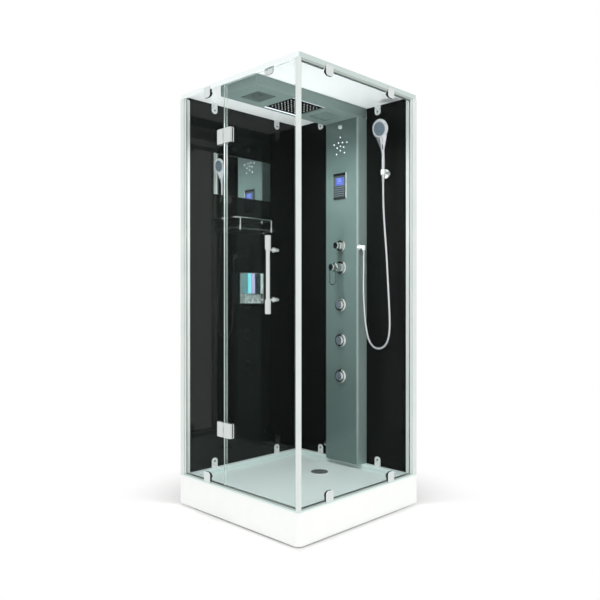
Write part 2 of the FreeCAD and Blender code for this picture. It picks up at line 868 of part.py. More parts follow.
def fixed_glass():
    pane = new_body("front_fixed_glass")
    low_x = left_profile_edge + dim.channel_width - dim.channel_slot_depth
    high_x = dim.hinge_axis_x - dim.pane_hinge_gap
    outline = rectangle(low_x, sill_top, high_x, glass_top)
    pad(pane, "xz", front_glass_face, front_glass_back, outline)
    holes = [((dim.clamp_front_x, height), bolt_hole) for height in (clamp_low_bolt, clamp_high_bolt)]
    holes += [(place, bolt_hole) for place in hinge_bolts(-1)]
    pocket(pane, "xz", front_glass_face, front_glass_back, circles=holes)

    pane = new_body("side_glass")
    high_y = right_profile_front - dim.channel_width + dim.channel_slot_depth
    outline = rectangle(post_y, sill_top, high_y, glass_top)
    pad(pane, "yz", side_glass_back, side_glass_face, outline)
    places = [(y, height) for y in (dim.clamp_near, dim.clamp_far) for height in (clamp_low_bolt, clamp_high_bolt)]
    pocket(pane, "yz", side_glass_back, side_glass_face, circles=[(place, bolt_hole) for place in places])


def roof_panel():
    """A shallow pan upside down, notched where the glass clamps reach over its rim."""
    body = new_body("roof_panel")
    over = dim.roof_overhang
    outline = rectangle(left - over, front - over, right + over, back + over)
    pad(body, "xy", roof_low, top, outline)
    rim_in = over - dim.roof_rim_thickness
    inside = rectangle(left - rim_in, front - rim_in, right + rim_in, back + rim_in)
    pocket(body, "xy", roof_low, ceiling, points=[inside])
    half = dim.clamp_width / 2
    notches = []
    for y in (dim.clamp_near, dim.clamp_far):
        notches.append(rectangle(right + rim_in, y - half, right + over, y + half))
    x = dim.clamp_front_x
    notches.append(rectangle(x - half, front - over, x + half, front - rim_in))
    pocket(body, "xy", roof_low, ceiling, points=notches)
    corners = [(x, y) for x in (left - over, right + over) for y in (front - over, back + over)]
    round_edges(body, dim.roof_corner, runs_along("z", *corners))
    round_edges(body, over * 2, lies_at("z", top))


# ---- clamps, clips and their screws --------------------------------------------------------------
def tongue(label, place, facing, hangs, width, height, thickness, corner):
    """A flat tongue with a rounded free end. It faces outward, and stands up or hangs down from its place."""
    body = new_body(label)
    half = width / 2
    pad(body, "xz", 0, thickness, rectangle(-half, 0, half, height))
    round_edges(body, corner, runs_along("y", (-half, height), (half, height)))
    turn = Rotation(Vector(0, 0, 1), OUTWARD[facing])
    if hangs:
        turn = turn * Rotation(Vector(0, 1, 0), 180)
    return put(body, place, turn)


def clamp_places():
    """Each clamp as its name, the side it faces, its place on the glass face and whether it hangs."""
    for level, height, hangs in (("low", rim, False), ("high", ceiling, True)):
        for name, y in (("near", dim.clamp_near), ("far", dim.clamp_far)):
            yield f"{name}_{level}", "+x", (side_glass_face, y, height), hangs
        yield f"front_{level}", "-y", (dim.clamp_front_x, front_glass_face, height), hangs


def clip_places():
    """Each wall clip as its name, the way it faces, its place on the wall and whether it hangs."""
    for level, height, hangs in (("low", rim, False), ("high", ceiling, True)):
        for name, y in (("near", dim.left_clip_near), ("far", dim.left_clip_far)):
            yield f"left_{name}_{level}", "+x", (left_wall, y, height), hangs
        for name, x in (("left", dim.back_clip_left), ("right", dim.back_clip_right)):
            yield f"back_{name}_{level}", "-y", (x, back_wall, height), hangs


def moved(place, facing, distance, rise=0):
    """A place moved along the way that a piece faces, and up."""
    x, y, z = place
    if facing in ("+x", "-x"):
        return (x + distance if facing == "+x" else x - distance, y, z + rise)
    return (x, y + distance if facing == "+y" else y - distance, z + rise)


OPPOSITE = {"+x": "-x", "-x": "+x", "+y": "-y", "-y": "+y"}


def glass_clamps():
    plates = []
    bolts = []
    jaw_width, jaw_height = dim.clamp_width * 0.7, dim.clamp_height * 0.85
    for name, facing, place, hangs in clamp_places():
        outer = tongue(
            f"clamp_{name}", place, facing, hangs, dim.clamp_width, dim.clamp_height, dim.clamp_thickness,
            dim.clamp_round,
        )
        lift = length(0) if hangs else dim.sill_height
        inward = OPPOSITE[facing]
        inner_place = moved(place, inward, dim.glass_thickness, lift)
        jaw = tongue(
            f"jaw_{name}", inner_place, inward, hangs, jaw_width, jaw_height - lift, dim.clamp_jaw_thickness,
            dim.clamp_round / 2,
        )
        rise = -dim.clamp_bolt_rise if hangs else dim.clamp_bolt_rise
        bolt_foot = moved(place, facing, 0, rise)
        hole = rod(f"jaw_hole_{name}", bolt_foot, inward, bolt_hole, dim.glass_thickness * 2)
        plates += [outer, cut(f"drilled_jaw_{name}", jaw, hole)]
        reach = dim.glass_thickness + dim.clamp_jaw_thickness
        shank = rod(f"clamp_bolt_{name}", bolt_foot, inward, dim.clamp_bolt_radius, reach)
        nut_foot = moved(place, inward, reach, rise)
        nut = rod(f"clamp_nut_{name}", nut_foot, inward, dim.clamp_nut_radius, dim.clamp_nut_length)
        bolts.append(join(f"clamp_bolt_and_nut_{name}", shank, nut))
    stop_back = front_glass_back + dim.stop_gap
    stop_place = (dim.stop_x, stop_back, ceiling)
    stop = tongue(
        "door_stop", stop_place, "+y", True, dim.stop_width, dim.stop_height, dim.stop_thickness, dim.clamp_round
    )
    nut_foot = (dim.stop_x, stop_back + dim.stop_thickness, ceiling - dim.clamp_bolt_rise)
    bolts.append(rod("door_stop_nut", nut_foot, "+y", dim.clamp_nut_radius, dim.clamp_nut_length))
    group("glass_clamps", *plates, stop)

    clips = []
    for name, facing, place, hangs in clip_places():
        plate = tongue(
            f"clip_{name}", place, facing, hangs, dim.clip_width, dim.clip_height, dim.clip_thickness,
            dim.clip_width * 0.45,
        )
        half = dim.clip_width / 2
        pad(plate, "xz", 0, dim.clip_flange, rectangle(-half, 0, half, dim.clip_thickness))
        corners = [(half * side, dim.clip_flange) for side in sides]
        round_edges(plate, dim.clip_flange_round, runs_along("z", *corners))
        clips.append(plate)
        rise = -dim.clip_screw_rise if hangs else dim.clip_screw_rise
        head_foot = moved(place, facing, dim.clip_thickness, rise)
        bolts.append(rod(f"clip_screw_{name}", head_foot, facing, dim.clip_screw_radius, dim.clip_screw_height))
    group("panel_clips", *clips)
    group("fasteners", *bolts)


# ---- door ----------------------------------------------------------------------------------------
axis_y = front_glass_face - dim.hinge_axis_proud
door_left = dim.hinge_axis_x + dim.pane_hinge_gap
door_right = post_x - dim.door_post_gap
door_low = sill_top + dim.door_bottom_gap
door_high = ceiling - dim.door_top_gap
upper_hinge_height = door_high - dim.upper_hinge_drop
hinge_heights = (("upper", upper_hinge_height), ("lower", dim.lower_hinge_height))
handle_y = front_glass_face - dim.handle_stand_off
mount_heights = (dim.handle_low + dim.handle_sleeve_length, dim.handle_high - dim.handle_sleeve_length)


def door_glass():
    pane = new_body("door_glass")
    pad(pane, "xz", front_glass_face, front_glass_back, rectangle(door_left, door_low, door_right, door_high))
    hole = dim.handle_bolt_radius + dim.bolt_clearance
    holes = [((dim.handle_x, height), hole) for height in mount_heights]
    holes += [(place, bolt_hole) for place in hinge_bolts(1)]
    pocket(pane, "xz", front_glass_face, front_glass_back, circles=holes)


def hinge_half(name, height, side, knuckle_spans):
    """One half of a glass hinge: an outer and an inner plate, and its knuckles on the pin."""
    half_height = dim.hinge_plate_height / 2
    near = dim.hinge_axis_x + (dim.hinge_knuckle_radius + dim.hinge_knuckle_gap) * side
    far = near + dim.hinge_plate_width * side
    low_x, high_x = (near, far) if side > 0 else (far, near)
    outer = new_body(f"{name}_outer_plate")
    outer_front = front_glass_face - dim.hinge_plate_thickness
    outline = rectangle(low_x, height - half_height, high_x, height + half_height)
    pad(outer, "xz", outer_front, front_glass_face, outline)
    round_edges(outer, dim.hinge_plate_round, runs_along("y", *[(far, height + half_height * up) for up in sides]))
    glass_edge = dim.hinge_axis_x + dim.pane_hinge_gap * side
    inner_low, inner_high = (glass_edge, far) if side > 0 else (far, glass_edge)
    inner = new_body(f"{name}_inner_plate")
    outline = rectangle(inner_low, height - half_height, inner_high, height + half_height)
    inner_back = front_glass_back + dim.hinge_inner_plate
    pad(inner, "xz", front_glass_back, inner_back, outline)
    round_edges(inner, dim.hinge_plate_round, runs_along("y", *[(far, height + half_height * up) for up in sides]))
    pieces = [outer]
    for up in sides:
        foot = (dim.hinge_axis_x + dim.hinge_bolt_reach * side, front_glass_face, height + dim.hinge_bolt_rise * up)
        pieces.append(rod(f"{name}_bolt_{up + 1}", foot, "+y", dim.clamp_bolt_radius, dim.glass_thickness))
    bore_radius = dim.hinge_pin_radius + (dim.hinge_running_clearance if side > 0 else length(0))
    for number, (low, high) in enumerate(knuckle_spans):
        foot = (dim.hinge_axis_x, axis_y, height + low)
        barrel = rod(f"{name}_knuckle_{number}", foot, "+z", dim.hinge_knuckle_radius, high - low)
        web_low = (min_of(dim.hinge_axis_x, near), axis_y - dim.hinge_knuckle_radius / 2, height + low)
        web_high = (max_of(dim.hinge_axis_x, near), axis_y + dim.hinge_knuckle_radius / 2, height + high)
        pieces += [barrel, block(f"{name}_web_{number}", web_low, web_high)]
    foot = (dim.hinge_axis_x, axis_y, height - half_height)
    bore = rod(f"{name}_bore", foot, "+z", bore_radius, dim.hinge_plate_height)
    return cut(f"{name}_leaf", join(f"{name}_leaf_blank", *pieces), bore), inner


def min_of(one, other):
    return one if one.value <= other.value else other


def max_of(one, other):
    return other if one.value <= other.value else one


def hinges():
    """Two glass-to-glass hinges: the door's knuckle turns on the pin between the fixed half's two."""
    half = dim.hinge_plate_height / 2
    third = dim.hinge_plate_height / 6
    gap = 0.3
    fixed, swinging, pins = [], [], []
    for name, height in hinge_heights:
        spans = [(-half, -third - gap), (third + gap, half)]
        fixed += hinge_half(f"{name}_fixed", height, -1, spans)
        swinging += hinge_half(f"{name}_door", height, 1, [(-third, third)])
        foot = (dim.hinge_axis_x, axis_y, height - half)
        pins.append(rod(f"{name}_pin", foot, "+z", dim.hinge_pin_radius, dim.hinge_plate_height))
    group("hinge_fixed_plates", *fixed)
    group("door_hinge_plates", *swinging)
    group("hinge_pins", *pins)


def door_handle():
    """A round bar with a thicker sleeve at each end."""
    sleeve = dim.handle_sleeve_length
    reach = dim.handle_high - dim.handle_low
    outline = [
        (0, 0),
        (dim.handle_sleeve_radius, 0),
        (dim.handle_sleeve_radius, sleeve),
        (dim.handle_radius, sleeve),
        (dim.handle_radius, reach - sleeve),
        (dim.handle_sleeve_radius, reach - sleeve),
        (dim.handle_sleeve_radius, reach),
        (0, reach),
    ]
    body = turned("handle_bar", (dim.handle_x, handle_y, dim.handle_low), "+z", outline)
    seats = []
    for number, height in enumerate(mount_heights):
        foot = (dim.handle_x, front_glass_face - dim.handle_washer_thickness, height)
        reach_back = dim.handle_stand_off - dim.handle_washer_thickness
        seats.append(rod(f"handle_seat_{number}", foot, "-y", dim.handle_mount_radius, reach_back))
    cut("door_handle", body, *seats)


def handle_mounts():
    """A post from the glass to the bar, and the knob behind the glass that clamps it."""
    mounts = []
    for number, height in enumerate(mount_heights):
        washer, knob = dim.handle_washer_thickness, dim.handle_knob_length
        through = dim.glass_thickness
        reach = dim.handle_stand_off
        outline = [
            (0, -reach),
            (dim.handle_mount_radius, -reach),
            (dim.handle_mount_radius, -washer),
            (dim.handle_washer_radius, -washer),
            (dim.handle_washer_radius, 0),
            (dim.handle_bolt_radius, 0),
            (dim.handle_bolt_radius, through),
            (dim.handle_knob_radius, through),
            (dim.handle_knob_radius, through + knob * 0.8),
            (dim.handle_knob_radius * 0.8, through + knob),
            (0, through + knob),
        ]
        mounts.append(turned(f"handle_mount_{number}", (dim.handle_x, front_glass_face, height), "+y", outline))
    group("handle_mounts", *mounts)


def door_seals():
    """Clear strips along the hinge side, between the hinges, along the closing side and under the door."""
    low_x = dim.hinge_axis_x - dim.pane_hinge_gap + dim.seal_running_gap
    clear = dim.hinge_plate_height / 2 + dim.seal_running_gap
    levels = [
        ("low", door_low, dim.lower_hinge_height - clear),
        ("middle", dim.lower_hinge_height + clear, upper_hinge_height - clear),
        ("high", upper_hinge_height + clear, door_high),
    ]
    strips = []
    for name, low, high in levels:
        corner = (low_x, front_glass_face, low)
        strips.append(block(f"hinge_seal_{name}", corner, (door_left, front_glass_back, high)))
    closing_low = (door_right, front_glass_face, door_low)
    closing_high = (post_x - dim.seal_running_gap, front_glass_back, door_high)
    strips.append(block("closing_seal", closing_low, closing_high))
    sweep_low = (door_left, front_glass_face, sill_top + dim.seal_running_gap)
    strips.append(block("bottom_sweep", sweep_low, (door_right, front_glass_back, door_low)))
    group("door_seals", *strips)


# ---- control column ------------------------------------------------------------------------------
jet_heights = [("upper", dim.jet_height + dim.jet_pitch), ("middle", dim.jet_height)]
jet_heights.append(("lower", dim.jet_height - dim.jet_pitch))
cup_radius = dim.jet_ball_radius + dim.jet_gap + dim.jet_cup_wall
steam_y = column_front + dim.column_depth / 2
riser_y = column_front + dim.jet_cup_depth + dim.pipe_radius + 2
hose_y = back_wall - dim.hose_stand_off
elbow_x = dim.column_x + dim.column_front_half + dim.elbow_reach
elbow_start = dim.column_x + dim.column_front_half - dim.elbow_insert
module_floor = column_high + dim.column_wall
dome_height = column_high - dim.dome_drop
speaker_height = column_high - dim.speaker_drop
panel_height = column_high - dim.panel_drop
rain_pipe_level = module_floor + dim.rain_head_thickness + dim.rain_pipe_rise
# Each small light's place, across and up from the loudspeaker's middle.
SMALL_LIGHTS = [
    (0, 50), (-13, 20), (17, 18), (51, 14), (-47, 14), (2, -1),
    (26, -10), (-24, -8), (1, -27), (32, -43), (-28, -44),
]


def column_half(side):
    """Half of the column's section, from its front corner round the flange behind the wall and back inside."""
    middle, wall = dim.column_x, dim.column_wall
    front_half, back_half = dim.column_front_half, dim.column_back_half
    flange_back = column_back + wall
    return [
        (middle + front_half * side, column_front),
        (middle + back_half * side, back_wall),
        (middle + back_half * side, column_back),
        (middle + (back_half + dim.column_flange) * side, column_back),
        (middle + (back_half + dim.column_flange) * side, flange_back),
        (middle + (back_half - wall) * side, flange_back),
        (middle + (back_half - wall) * side, back_wall),
        (middle + (front_half - wall) * side, column_front + wall),
    ]


def column_shell():
    """A moulded casing, open behind, with holes for what it carries."""
    body = new_body("column_shell")
    pad(body, "xy", rim, column_high, column_half(1) + column_half(-1)[::-1])
    wall, middle = dim.column_wall, dim.column_x
    outer = [(middle + dim.column_front_half * side, column_front) for side in sides]
    inner = [(middle + (dim.column_front_half - wall) * side, column_front + wall) for side in sides]
    round_edges(body, dim.column_round, runs_along("z", *outer))
    round_edges(body, dim.column_round - wall, runs_along("z", *inner))
    fit = dim.bolt_clearance
    holes = [((middle, height), cup_radius + fit) for _, height in jet_heights]
    holes += [((middle, height), dim.cartridge_radius + fit) for height in (dim.diverter_height, dim.mixer_height)]
    pocket(body, "xz", column_front, column_front + wall, circles=holes)
    far_side = middle + dim.column_back_half
    elbow = [((hose_y, dim.elbow_height), dim.elbow_radius + fit)]
    pocket(body, "yz", middle, far_side, circles=elbow)
    near_side = middle - dim.column_back_half
    steam = [((steam_y, dim.steam_pipe_height), dim.steam_pipe_radius + fit)]
    pocket(body, "yz", near_side, middle, circles=steam)


def column_leds():
    """The domed lamp at the top and eleven small lights scattered under it."""
    radius = dim.dome_radius
    dome = turned(
        "dome_lamp",
        (dim.column_x + dim.lights_offset, column_front, dome_height),
        "-y",
        [(0, 0), (radius, 0), (radius, radius * 0.3), (radius * 0.7, radius * 0.75), (0, radius * 0.9)],
    )
    lights = [dome]
    for number, (across, rise) in enumerate(SMALL_LIGHTS):
        foot = (dim.column_x + dim.lights_offset + across, column_front, speaker_height + rise)
        lights.append(rod(f"small_light_{number}", foot, "-y", dim.led_radius, dim.led_proud))
    group("column_leds", *lights)
    foot = (dim.column_x, column_front + dim.column_wall, speaker_height)
    rim_radius, depth = dim.speaker_radius, dim.speaker_depth
    magnet = rim_radius * 0.5
    cone = [
        (0, 0), (rim_radius, 0), (rim_radius, depth * 0.2), (magnet, depth * 0.6), (magnet, depth), (0, depth),
    ]
    turned("speaker", foot, "+y", cone)


def control_panel():
    body = new_body("control_panel")
    x, height = dim.column_x + dim.lights_offset - 1, panel_height
    low_x, high_x = x - dim.panel_half_width, x + dim.panel_half_width
    low_z, high_z = height - dim.panel_half_height, height + dim.panel_half_height
    face = column_front - dim.panel_proud
    pad(body, "xz", face, column_front, rectangle(low_x, low_z, high_x, high_z))
    round_edges(body, dim.panel_round, runs_along("y", *rectangle(low_x, low_z, high_x, high_z)))
    screen_z = height + dim.screen_rise
    screen = rectangle(
        x - dim.screen_half_width, screen_z - dim.screen_half_height,
        x + dim.screen_half_width, screen_z + dim.screen_half_height,
    )
    pocket(body, "xz", face, face + dim.screen_depth, points=[screen])
    low, high = screen[0], screen[2]
    block("display_screen", (low[0], face, low[1]), (high[0], face + dim.screen_depth, high[1]))


def valve_plates():
    plates = []
    for name, height, radius in (
        ("diverter", dim.diverter_height, dim.diverter_plate_radius),
        ("mixer", dim.mixer_height, dim.mixer_plate_radius),
    ):
        bore = dim.cartridge_radius + dim.bolt_clearance
        outline = [
            (bore, 0), (radius, 0), (radius, dim.plate_thickness * 0.3), (radius * 0.9, dim.plate_thickness),
            (bore, dim.plate_thickness),
        ]
        plates.append(turned(f"{name}_plate", (dim.column_x, column_front, height), "-y", outline))
    group("valve_plates", *plates)


plate_face = column_front - dim.plate_thickness
knob_back = plate_face - dim.knob_gap
barrel_front = knob_back - dim.barrel_length
loop_pivot_y = barrel_front + dim.loop_setback


def handles_on_the_column():
    """The diverter's knob, the mixer's barrel and the wire loop that hangs from it."""
    spindle = dim.knob_spindle_radius + dim.running_clearance
    reach = dim.knob_length
    deep = dim.spindle_length
    outline = [
        (spindle, 0), (dim.knob_radius, 0), (dim.knob_radius, reach * 0.35), (dim.knob_radius * 0.88, reach * 0.4),
        (dim.knob_radius * 0.88, reach * 0.5), (dim.knob_radius, reach * 0.55), (dim.knob_radius, reach * 0.95),
        (dim.knob_radius * 0.93, reach), (0, reach), (0, deep), (spindle, deep),
    ]
    turned("diverter_knob", (dim.column_x, knob_back, dim.diverter_height), "-y", outline)

    spindle = dim.barrel_spindle_radius + dim.running_clearance
    radius, nose, reach = dim.barrel_radius, dim.barrel_nose_radius, dim.barrel_length
    outline = [
        (spindle, 0), (radius * 0.92, 0), (radius * 0.92, reach * 0.1), (radius, reach * 0.14),
        (radius, reach * 0.6), (nose, reach * 0.64), (nose, reach * 0.96), (nose * 0.88, reach),
        (0, reach), (0, deep), (spindle, deep),
    ]
    barrel = turned("barrel_blank", (dim.column_x, knob_back, dim.mixer_height), "-y", outline)
    pivot_bore = dim.loop_pivot_radius + dim.running_clearance
    pivot_foot = (dim.column_x - radius, loop_pivot_y, dim.mixer_height)
    cut("mixer_barrel", barrel, rod("loop_pivot_bore", pivot_foot, "+x", pivot_bore, radius * 2))

    leg_x = dim.barrel_nose_radius + dim.loop_gap + dim.loop_wire_radius
    low = dim.mixer_height - dim.loop_drop
    bend = doc.addObject("Part::Torus", "loop_bend")
    bend.setExpression("Radius1", leg_x.formula)
    bend.setExpression("Radius2", dim.loop_wire_radius.formula)
    bend.Angle3 = 180
    put(bend, (dim.column_x, loop_pivot_y, low), Rotation(Vector(1, 0, 0), -90))
    pieces = [bend]
    for side in sides:
        x = dim.column_x + leg_x * side
        leg = f"loop_leg_{side + 1}"
        pieces.append(rod(leg, (x, loop_pivot_y, low), "+z", dim.loop_wire_radius, dim.loop_drop))
        pieces.append(ball(leg + "_eye", (x, loop_pivot_y, dim.mixer_height), dim.loop_wire_radius))
        inward = "-x" if side > 0 else "+x"
        pivot_reach = dim.loop_wire_radius + dim.loop_gap + dim.loop_pivot_depth
        foot = (x, loop_pivot_y, dim.mixer_height)
        pieces.append(rod(leg + "_pivot", foot, inward, dim.loop_pivot_radius, pivot_reach))
    join("mixer_loop", *pieces)


def jets():
    """Three body jets: a ring with a cup behind it, and a ball nozzle that tilts in the ring."""
    ring, proud, wall = dim.jet_ring_radius, dim.jet_ring_proud, dim.jet_cup_wall
    bore = dim.jet_ball_radius + dim.jet_gap
    depth = dim.jet_cup_depth
    outline = [
        (0, -depth), (cup_radius, -depth), (cup_radius, 0), (ring, 0), (ring, proud * 0.4), (ring * 0.86, proud),
        (bore, proud), (bore, wall - depth), (0, wall - depth),
    ]
    rings = []
    for name, height in jet_heights:
        rings.append(turned(f"jet_ring_{name}", (dim.column_x, column_front, height), "-y", outline))
        centre = (dim.column_x, column_front - proud / 3, height)
        sphere = ball(f"nozzle_ball_{name}", centre, dim.jet_ball_radius)
        reach = dim.jet_ball_radius
        low = (dim.column_x - reach, centre[1] - reach * 0.62, height - reach)
        high = (dim.column_x + reach, centre[1] + reach * 0.4, height + reach)
        slab = block(f"nozzle_slab_{name}", low, high)
        nozzle = doc.addObject("Part::Common", f"jet_nozzle_{name}")
        nozzle.Base = sphere
        nozzle.Tool = slab
    group("jet_rings", *rings)


def water_pipes():
    """The two cartridges, the riser behind the jets, its branches and the two inlets at the back."""
    x = dim.column_x
    low = dim.jet_height - dim.jet_pitch
    pieces = [rod("riser", (x, riser_y, low), "+z", dim.pipe_radius, rain_pipe_level - low)]
    for name, height in jet_heights:
        foot = (x, column_front + dim.jet_cup_depth, height)
        pieces.append(rod(f"branch_{name}", foot, "+y", dim.branch_radius, dim.pipe_radius))
    for name, height, spindle in (
        ("diverter", dim.diverter_height, dim.knob_spindle_radius),
        ("mixer", dim.mixer_height, dim.barrel_spindle_radius),
    ):
        foot = (x, plate_face, height)
        pieces.append(rod(f"{name}_cartridge", foot, "+y", dim.cartridge_radius, dim.cartridge_depth + 9))
        tip = dim.spindle_length - 1 + dim.knob_gap
        pieces.append(rod(f"{name}_spindle", foot, "-y", spindle, tip))
    manifold = (x - dim.inlet_spread, riser_y, dim.mixer_height)
    pieces.append(rod("manifold", manifold, "+x", dim.inlet_radius, dim.inlet_spread * 2))
    for side in sides:
        end_x = x + dim.inlet_spread * side
        pieces.append(ball(f"manifold_end_{side + 1}", (end_x, riser_y, dim.mixer_height), dim.inlet_radius))
        shoulder = back - dim.inlet_length
        arm = rod(f"inlet_arm_{side + 1}", (end_x, riser_y, dim.mixer_height), "+y", 8.5, shoulder - riser_y)
        foot = (end_x, shoulder, dim.mixer_height)
        pieces += [arm, rod(f"inlet_{side + 1}", foot, "+y", dim.inlet_radius, dim.inlet_length)]
    foot = (x, hose_y, dim.elbow_height)
    pieces.append(rod("hose_feed_out", foot, "+y", dim.branch_radius, riser_y - hose_y))
    pieces.append(rod("hose_feed_across", foot, "+x", dim.branch_radius, elbow_start - x))
    level = rain_pipe_level
    pieces.append(ball("rain_pipe_bend", (x, riser_y, level), dim.pipe_radius))
    reach = riser_y - dim.rain_head_y
    pieces.append(rod("rain_pipe", (x, riser_y, level), "-y", dim.rain_pipe_radius, reach))
    pieces.append(ball("rain_pipe_end", (x, dim.rain_head_y, level), dim.rain_pipe_radius))
    rain_top = module_floor + dim.rain_head_thickness
    pieces.append(rod("rain_drop", (x, dim.rain_head_y, rain_top), "+z", dim.rain_pipe_radius, level - rain_top))
    join("water_pipes", *pieces)


def steam_generator():
    """A slim boiler in the foot of the column, with a steam outlet through the column's left side."""
    x, half = dim.column_x, dim.generator_half_width
    low_y = back_wall - dim.generator_depth
    low = (x - half, low_y, rim)
    tank = block("boiler_tank", low, (x + half, back_wall, dim.generator_high))
    side_x = x - dim.column_back_half
    pipe_reach = dim.column_back_half - half + 14
    foot = (x - half, steam_y, dim.steam_pipe_height)
    pipe = rod("steam_pipe", foot, "-x", dim.steam_pipe_radius, pipe_reach)
    cap_foot = (side_x - 1, steam_y, dim.steam_pipe_height)
    cap = rod("steam_cap", cap_foot, "-x", dim.steam_cap_radius, 13)
    join("steam_generator", tank, pipe, cap)


# ---- ceiling box and what it carries -------------------------------------------------------------
box_front = front + dim.ceiling_box_front
vent_y = box_front + dim.vent_inset


def recess(y, half_width, half_length):
    """An outline in plan, centred across the ceiling box."""
    x = dim.column_x
    return rectangle(x - half_width, y - half_length, x + half_width, y + half_length)


def slab(label, outline, low, high):
    """A flat block over an outline in plan."""
    return block(label, (*outline[0], low), (*outline[2], high))


def ceiling_box():
    """A moulded trough under the roof, from the front to the back wall, with three recesses below."""
    body = new_body("ceiling_box")
    x, wall, half = dim.column_x, dim.column_wall, dim.column_back_half
    pad(body, "xz", box_front, back_wall, rectangle(x - half, column_high, x + half, ceiling))
    corners = [(x + half * side, column_high) for side in sides]
    round_edges(body, dim.ceiling_box_round, runs_along("y", *corners))
    inside = rectangle(x - half + wall, module_floor, x + half - wall, ceiling)
    pocket(body, "xz", box_front + wall, back_wall - wall, points=[inside])
    recesses = [
        recess(vent_y, dim.vent_half_width, dim.vent_half_length),
        recess(dim.rain_head_y, dim.rain_recess_half_width, dim.rain_recess_half_length),
        recess(dim.lamp_y, dim.lamp_half_width, dim.lamp_half_length),
    ]
    riser_hole = [((x, riser_y), dim.pipe_radius + dim.bolt_clearance)]
    pocket(body, "xy", column_high, module_floor, points=recesses, circles=riser_hole)


def rain_head():
    """A rectangular rain head with a grid of rubber nozzles, laid over its recess."""
    x, y = dim.column_x, dim.rain_head_y
    lap = dim.module_lap
    outline = recess(y, dim.rain_recess_half_width + lap, dim.rain_recess_half_length + lap)
    plate = slab("rain_plate", outline, module_floor, module_floor + dim.rain_head_thickness)
    across_count = int((dim.rain_head_half_width.value - 8) / dim.nozzle_pitch.value)
    along_count = int((dim.rain_recess_half_length.value - 8) / dim.nozzle_pitch.value)
    nozzles = []
    for across in range(-across_count, across_count + 1):
        for along in range(-along_count, along_count + 1):
            foot = (x + dim.nozzle_pitch * across, y + dim.nozzle_pitch * along, module_floor)
            name = f"nozzle_{across + across_count}_{along + along_count}"
            nozzles.append(rod(name, foot, "-z", dim.nozzle_radius, dim.nozzle_length))
    group("rain_head", plate, *nozzles)


def ceiling_lights():
    """A light bar along each side of the rain head, and the lamp behind it."""
    x, y = dim.column_x, dim.rain_head_y
    reach = dim.rain_recess_half_length - dim.module_gap
    lights = []
    for side in sides:
        far = x + (dim.rain_recess_half_width - dim.module_gap) * side
        near = far - dim.light_bar_width * side
        low = (min_of(near, far), y - reach, column_high)
        lights.append(block(f"light_bar_{side + 1}", low, (max_of(near, far), y + reach, module_floor)))
    lap = dim.module_lap
    outline = recess(dim.lamp_y, dim.lamp_half_width + lap, dim.lamp_half_length + lap)
    lights.append(slab("lamp", outline, module_floor, module_floor + dim.lamp_thickness))
    group("ceiling_lights", *lights)


def fan():
    """The extractor: a louvred grille laid over its recess, a round housing on it and the rotor inside."""
    x, y, lap = dim.column_x, vent_y, dim.module_lap
    flange_top = module_floor + dim.module_flange
    outer = recess(y, dim.vent_half_width + lap, dim.vent_half_length + lap)
    inner = recess(y, dim.vent_half_width - 1, dim.vent_half_length - 1)
    flange = slab("vent_flange", outer, module_floor, flange_top)
    frame = cut("vent_frame", flange, slab("vent_hole", inner, module_floor - 1, flange_top + 1))
    slats = []
    pitch = dim.vent_slat * 3
    count = int(((dim.vent_half_length.value - 1) * 2 - dim.vent_slat.value) / pitch.value)
    for number in range(count):
        near = y - dim.vent_half_length + 1 + dim.vent_slat + pitch * number
        low = (x - dim.vent_half_width + 1, near, module_floor)
        high = (x + dim.vent_half_width - 1, near + dim.vent_slat, flange_top)
        slats.append(block(f"slat_{number}", low, high))
    join("fan_grille", frame, *slats)

    bore, wall = dim.fan_radius + dim.fan_clearance, dim.fan_wall
    outer_radius = bore + wall
    height = ceiling - flange_top
    shaft, motor = dim.fan_shaft_radius, dim.fan_hub_radius
    rotor_low = dim.fan_rise
    motor_low = rotor_low + dim.fan_height + 1
    outline = [
        (bore, 0), (outer_radius, 0), (outer_radius, height), (0, height),
        (0, rotor_low + 2), (shaft, rotor_low + 2),
        (shaft, motor_low), (motor, motor_low), (motor, height - wall), (bore, height - wall),
    ]
    drum = turned("fan_drum", (x, y, flange_top), "+z", outline)
    base = slab("fan_base", outer, flange_top, flange_top + 2)
    mouth = rod("fan_mouth", (x, y, flange_top - 1), "+z", bore, 4)
    join("fan_housing", drum, cut("fan_base_ring", base, mouth))
    hub_bore = shaft + dim.running_clearance
    hub_foot = (x, y, flange_top + rotor_low)
    hub_outline = [
        (0, 0), (dim.fan_hub_radius, 0), (dim.fan_hub_radius, dim.fan_height), (hub_bore, dim.fan_height),
        (hub_bore, 1), (0, 1),
    ]
    blades = [turned("fan_hub", hub_foot, "+z", hub_outline)]
    count = 7
    half_blade = dim.fan_blade_thickness / 2
    for number in range(count):
        blade = doc.addObject("Part::Box", f"fan_blade_{number}")
        blade.setExpression("Length", (dim.fan_radius - dim.fan_hub_radius + 1).formula)
        blade.setExpression("Width", dim.fan_blade_thickness.formula)
        blade.setExpression("Height", (dim.fan_height - 2).formula)
        angle = math.radians(360 * number / count)
        start = dim.fan_hub_radius - 1
        place_x = x + start * math.cos(angle) + half_blade * math.sin(angle)
        place_y = y + start * math.sin(angle) - half_blade * math.cos(angle)
        put(blade, (place_x, place_y, hub_foot[2] + 1), Rotation(Vector(0, 0, 1), math.degrees(angle)))
        blades.append(blade)
    join("fan_rotor", *blades)


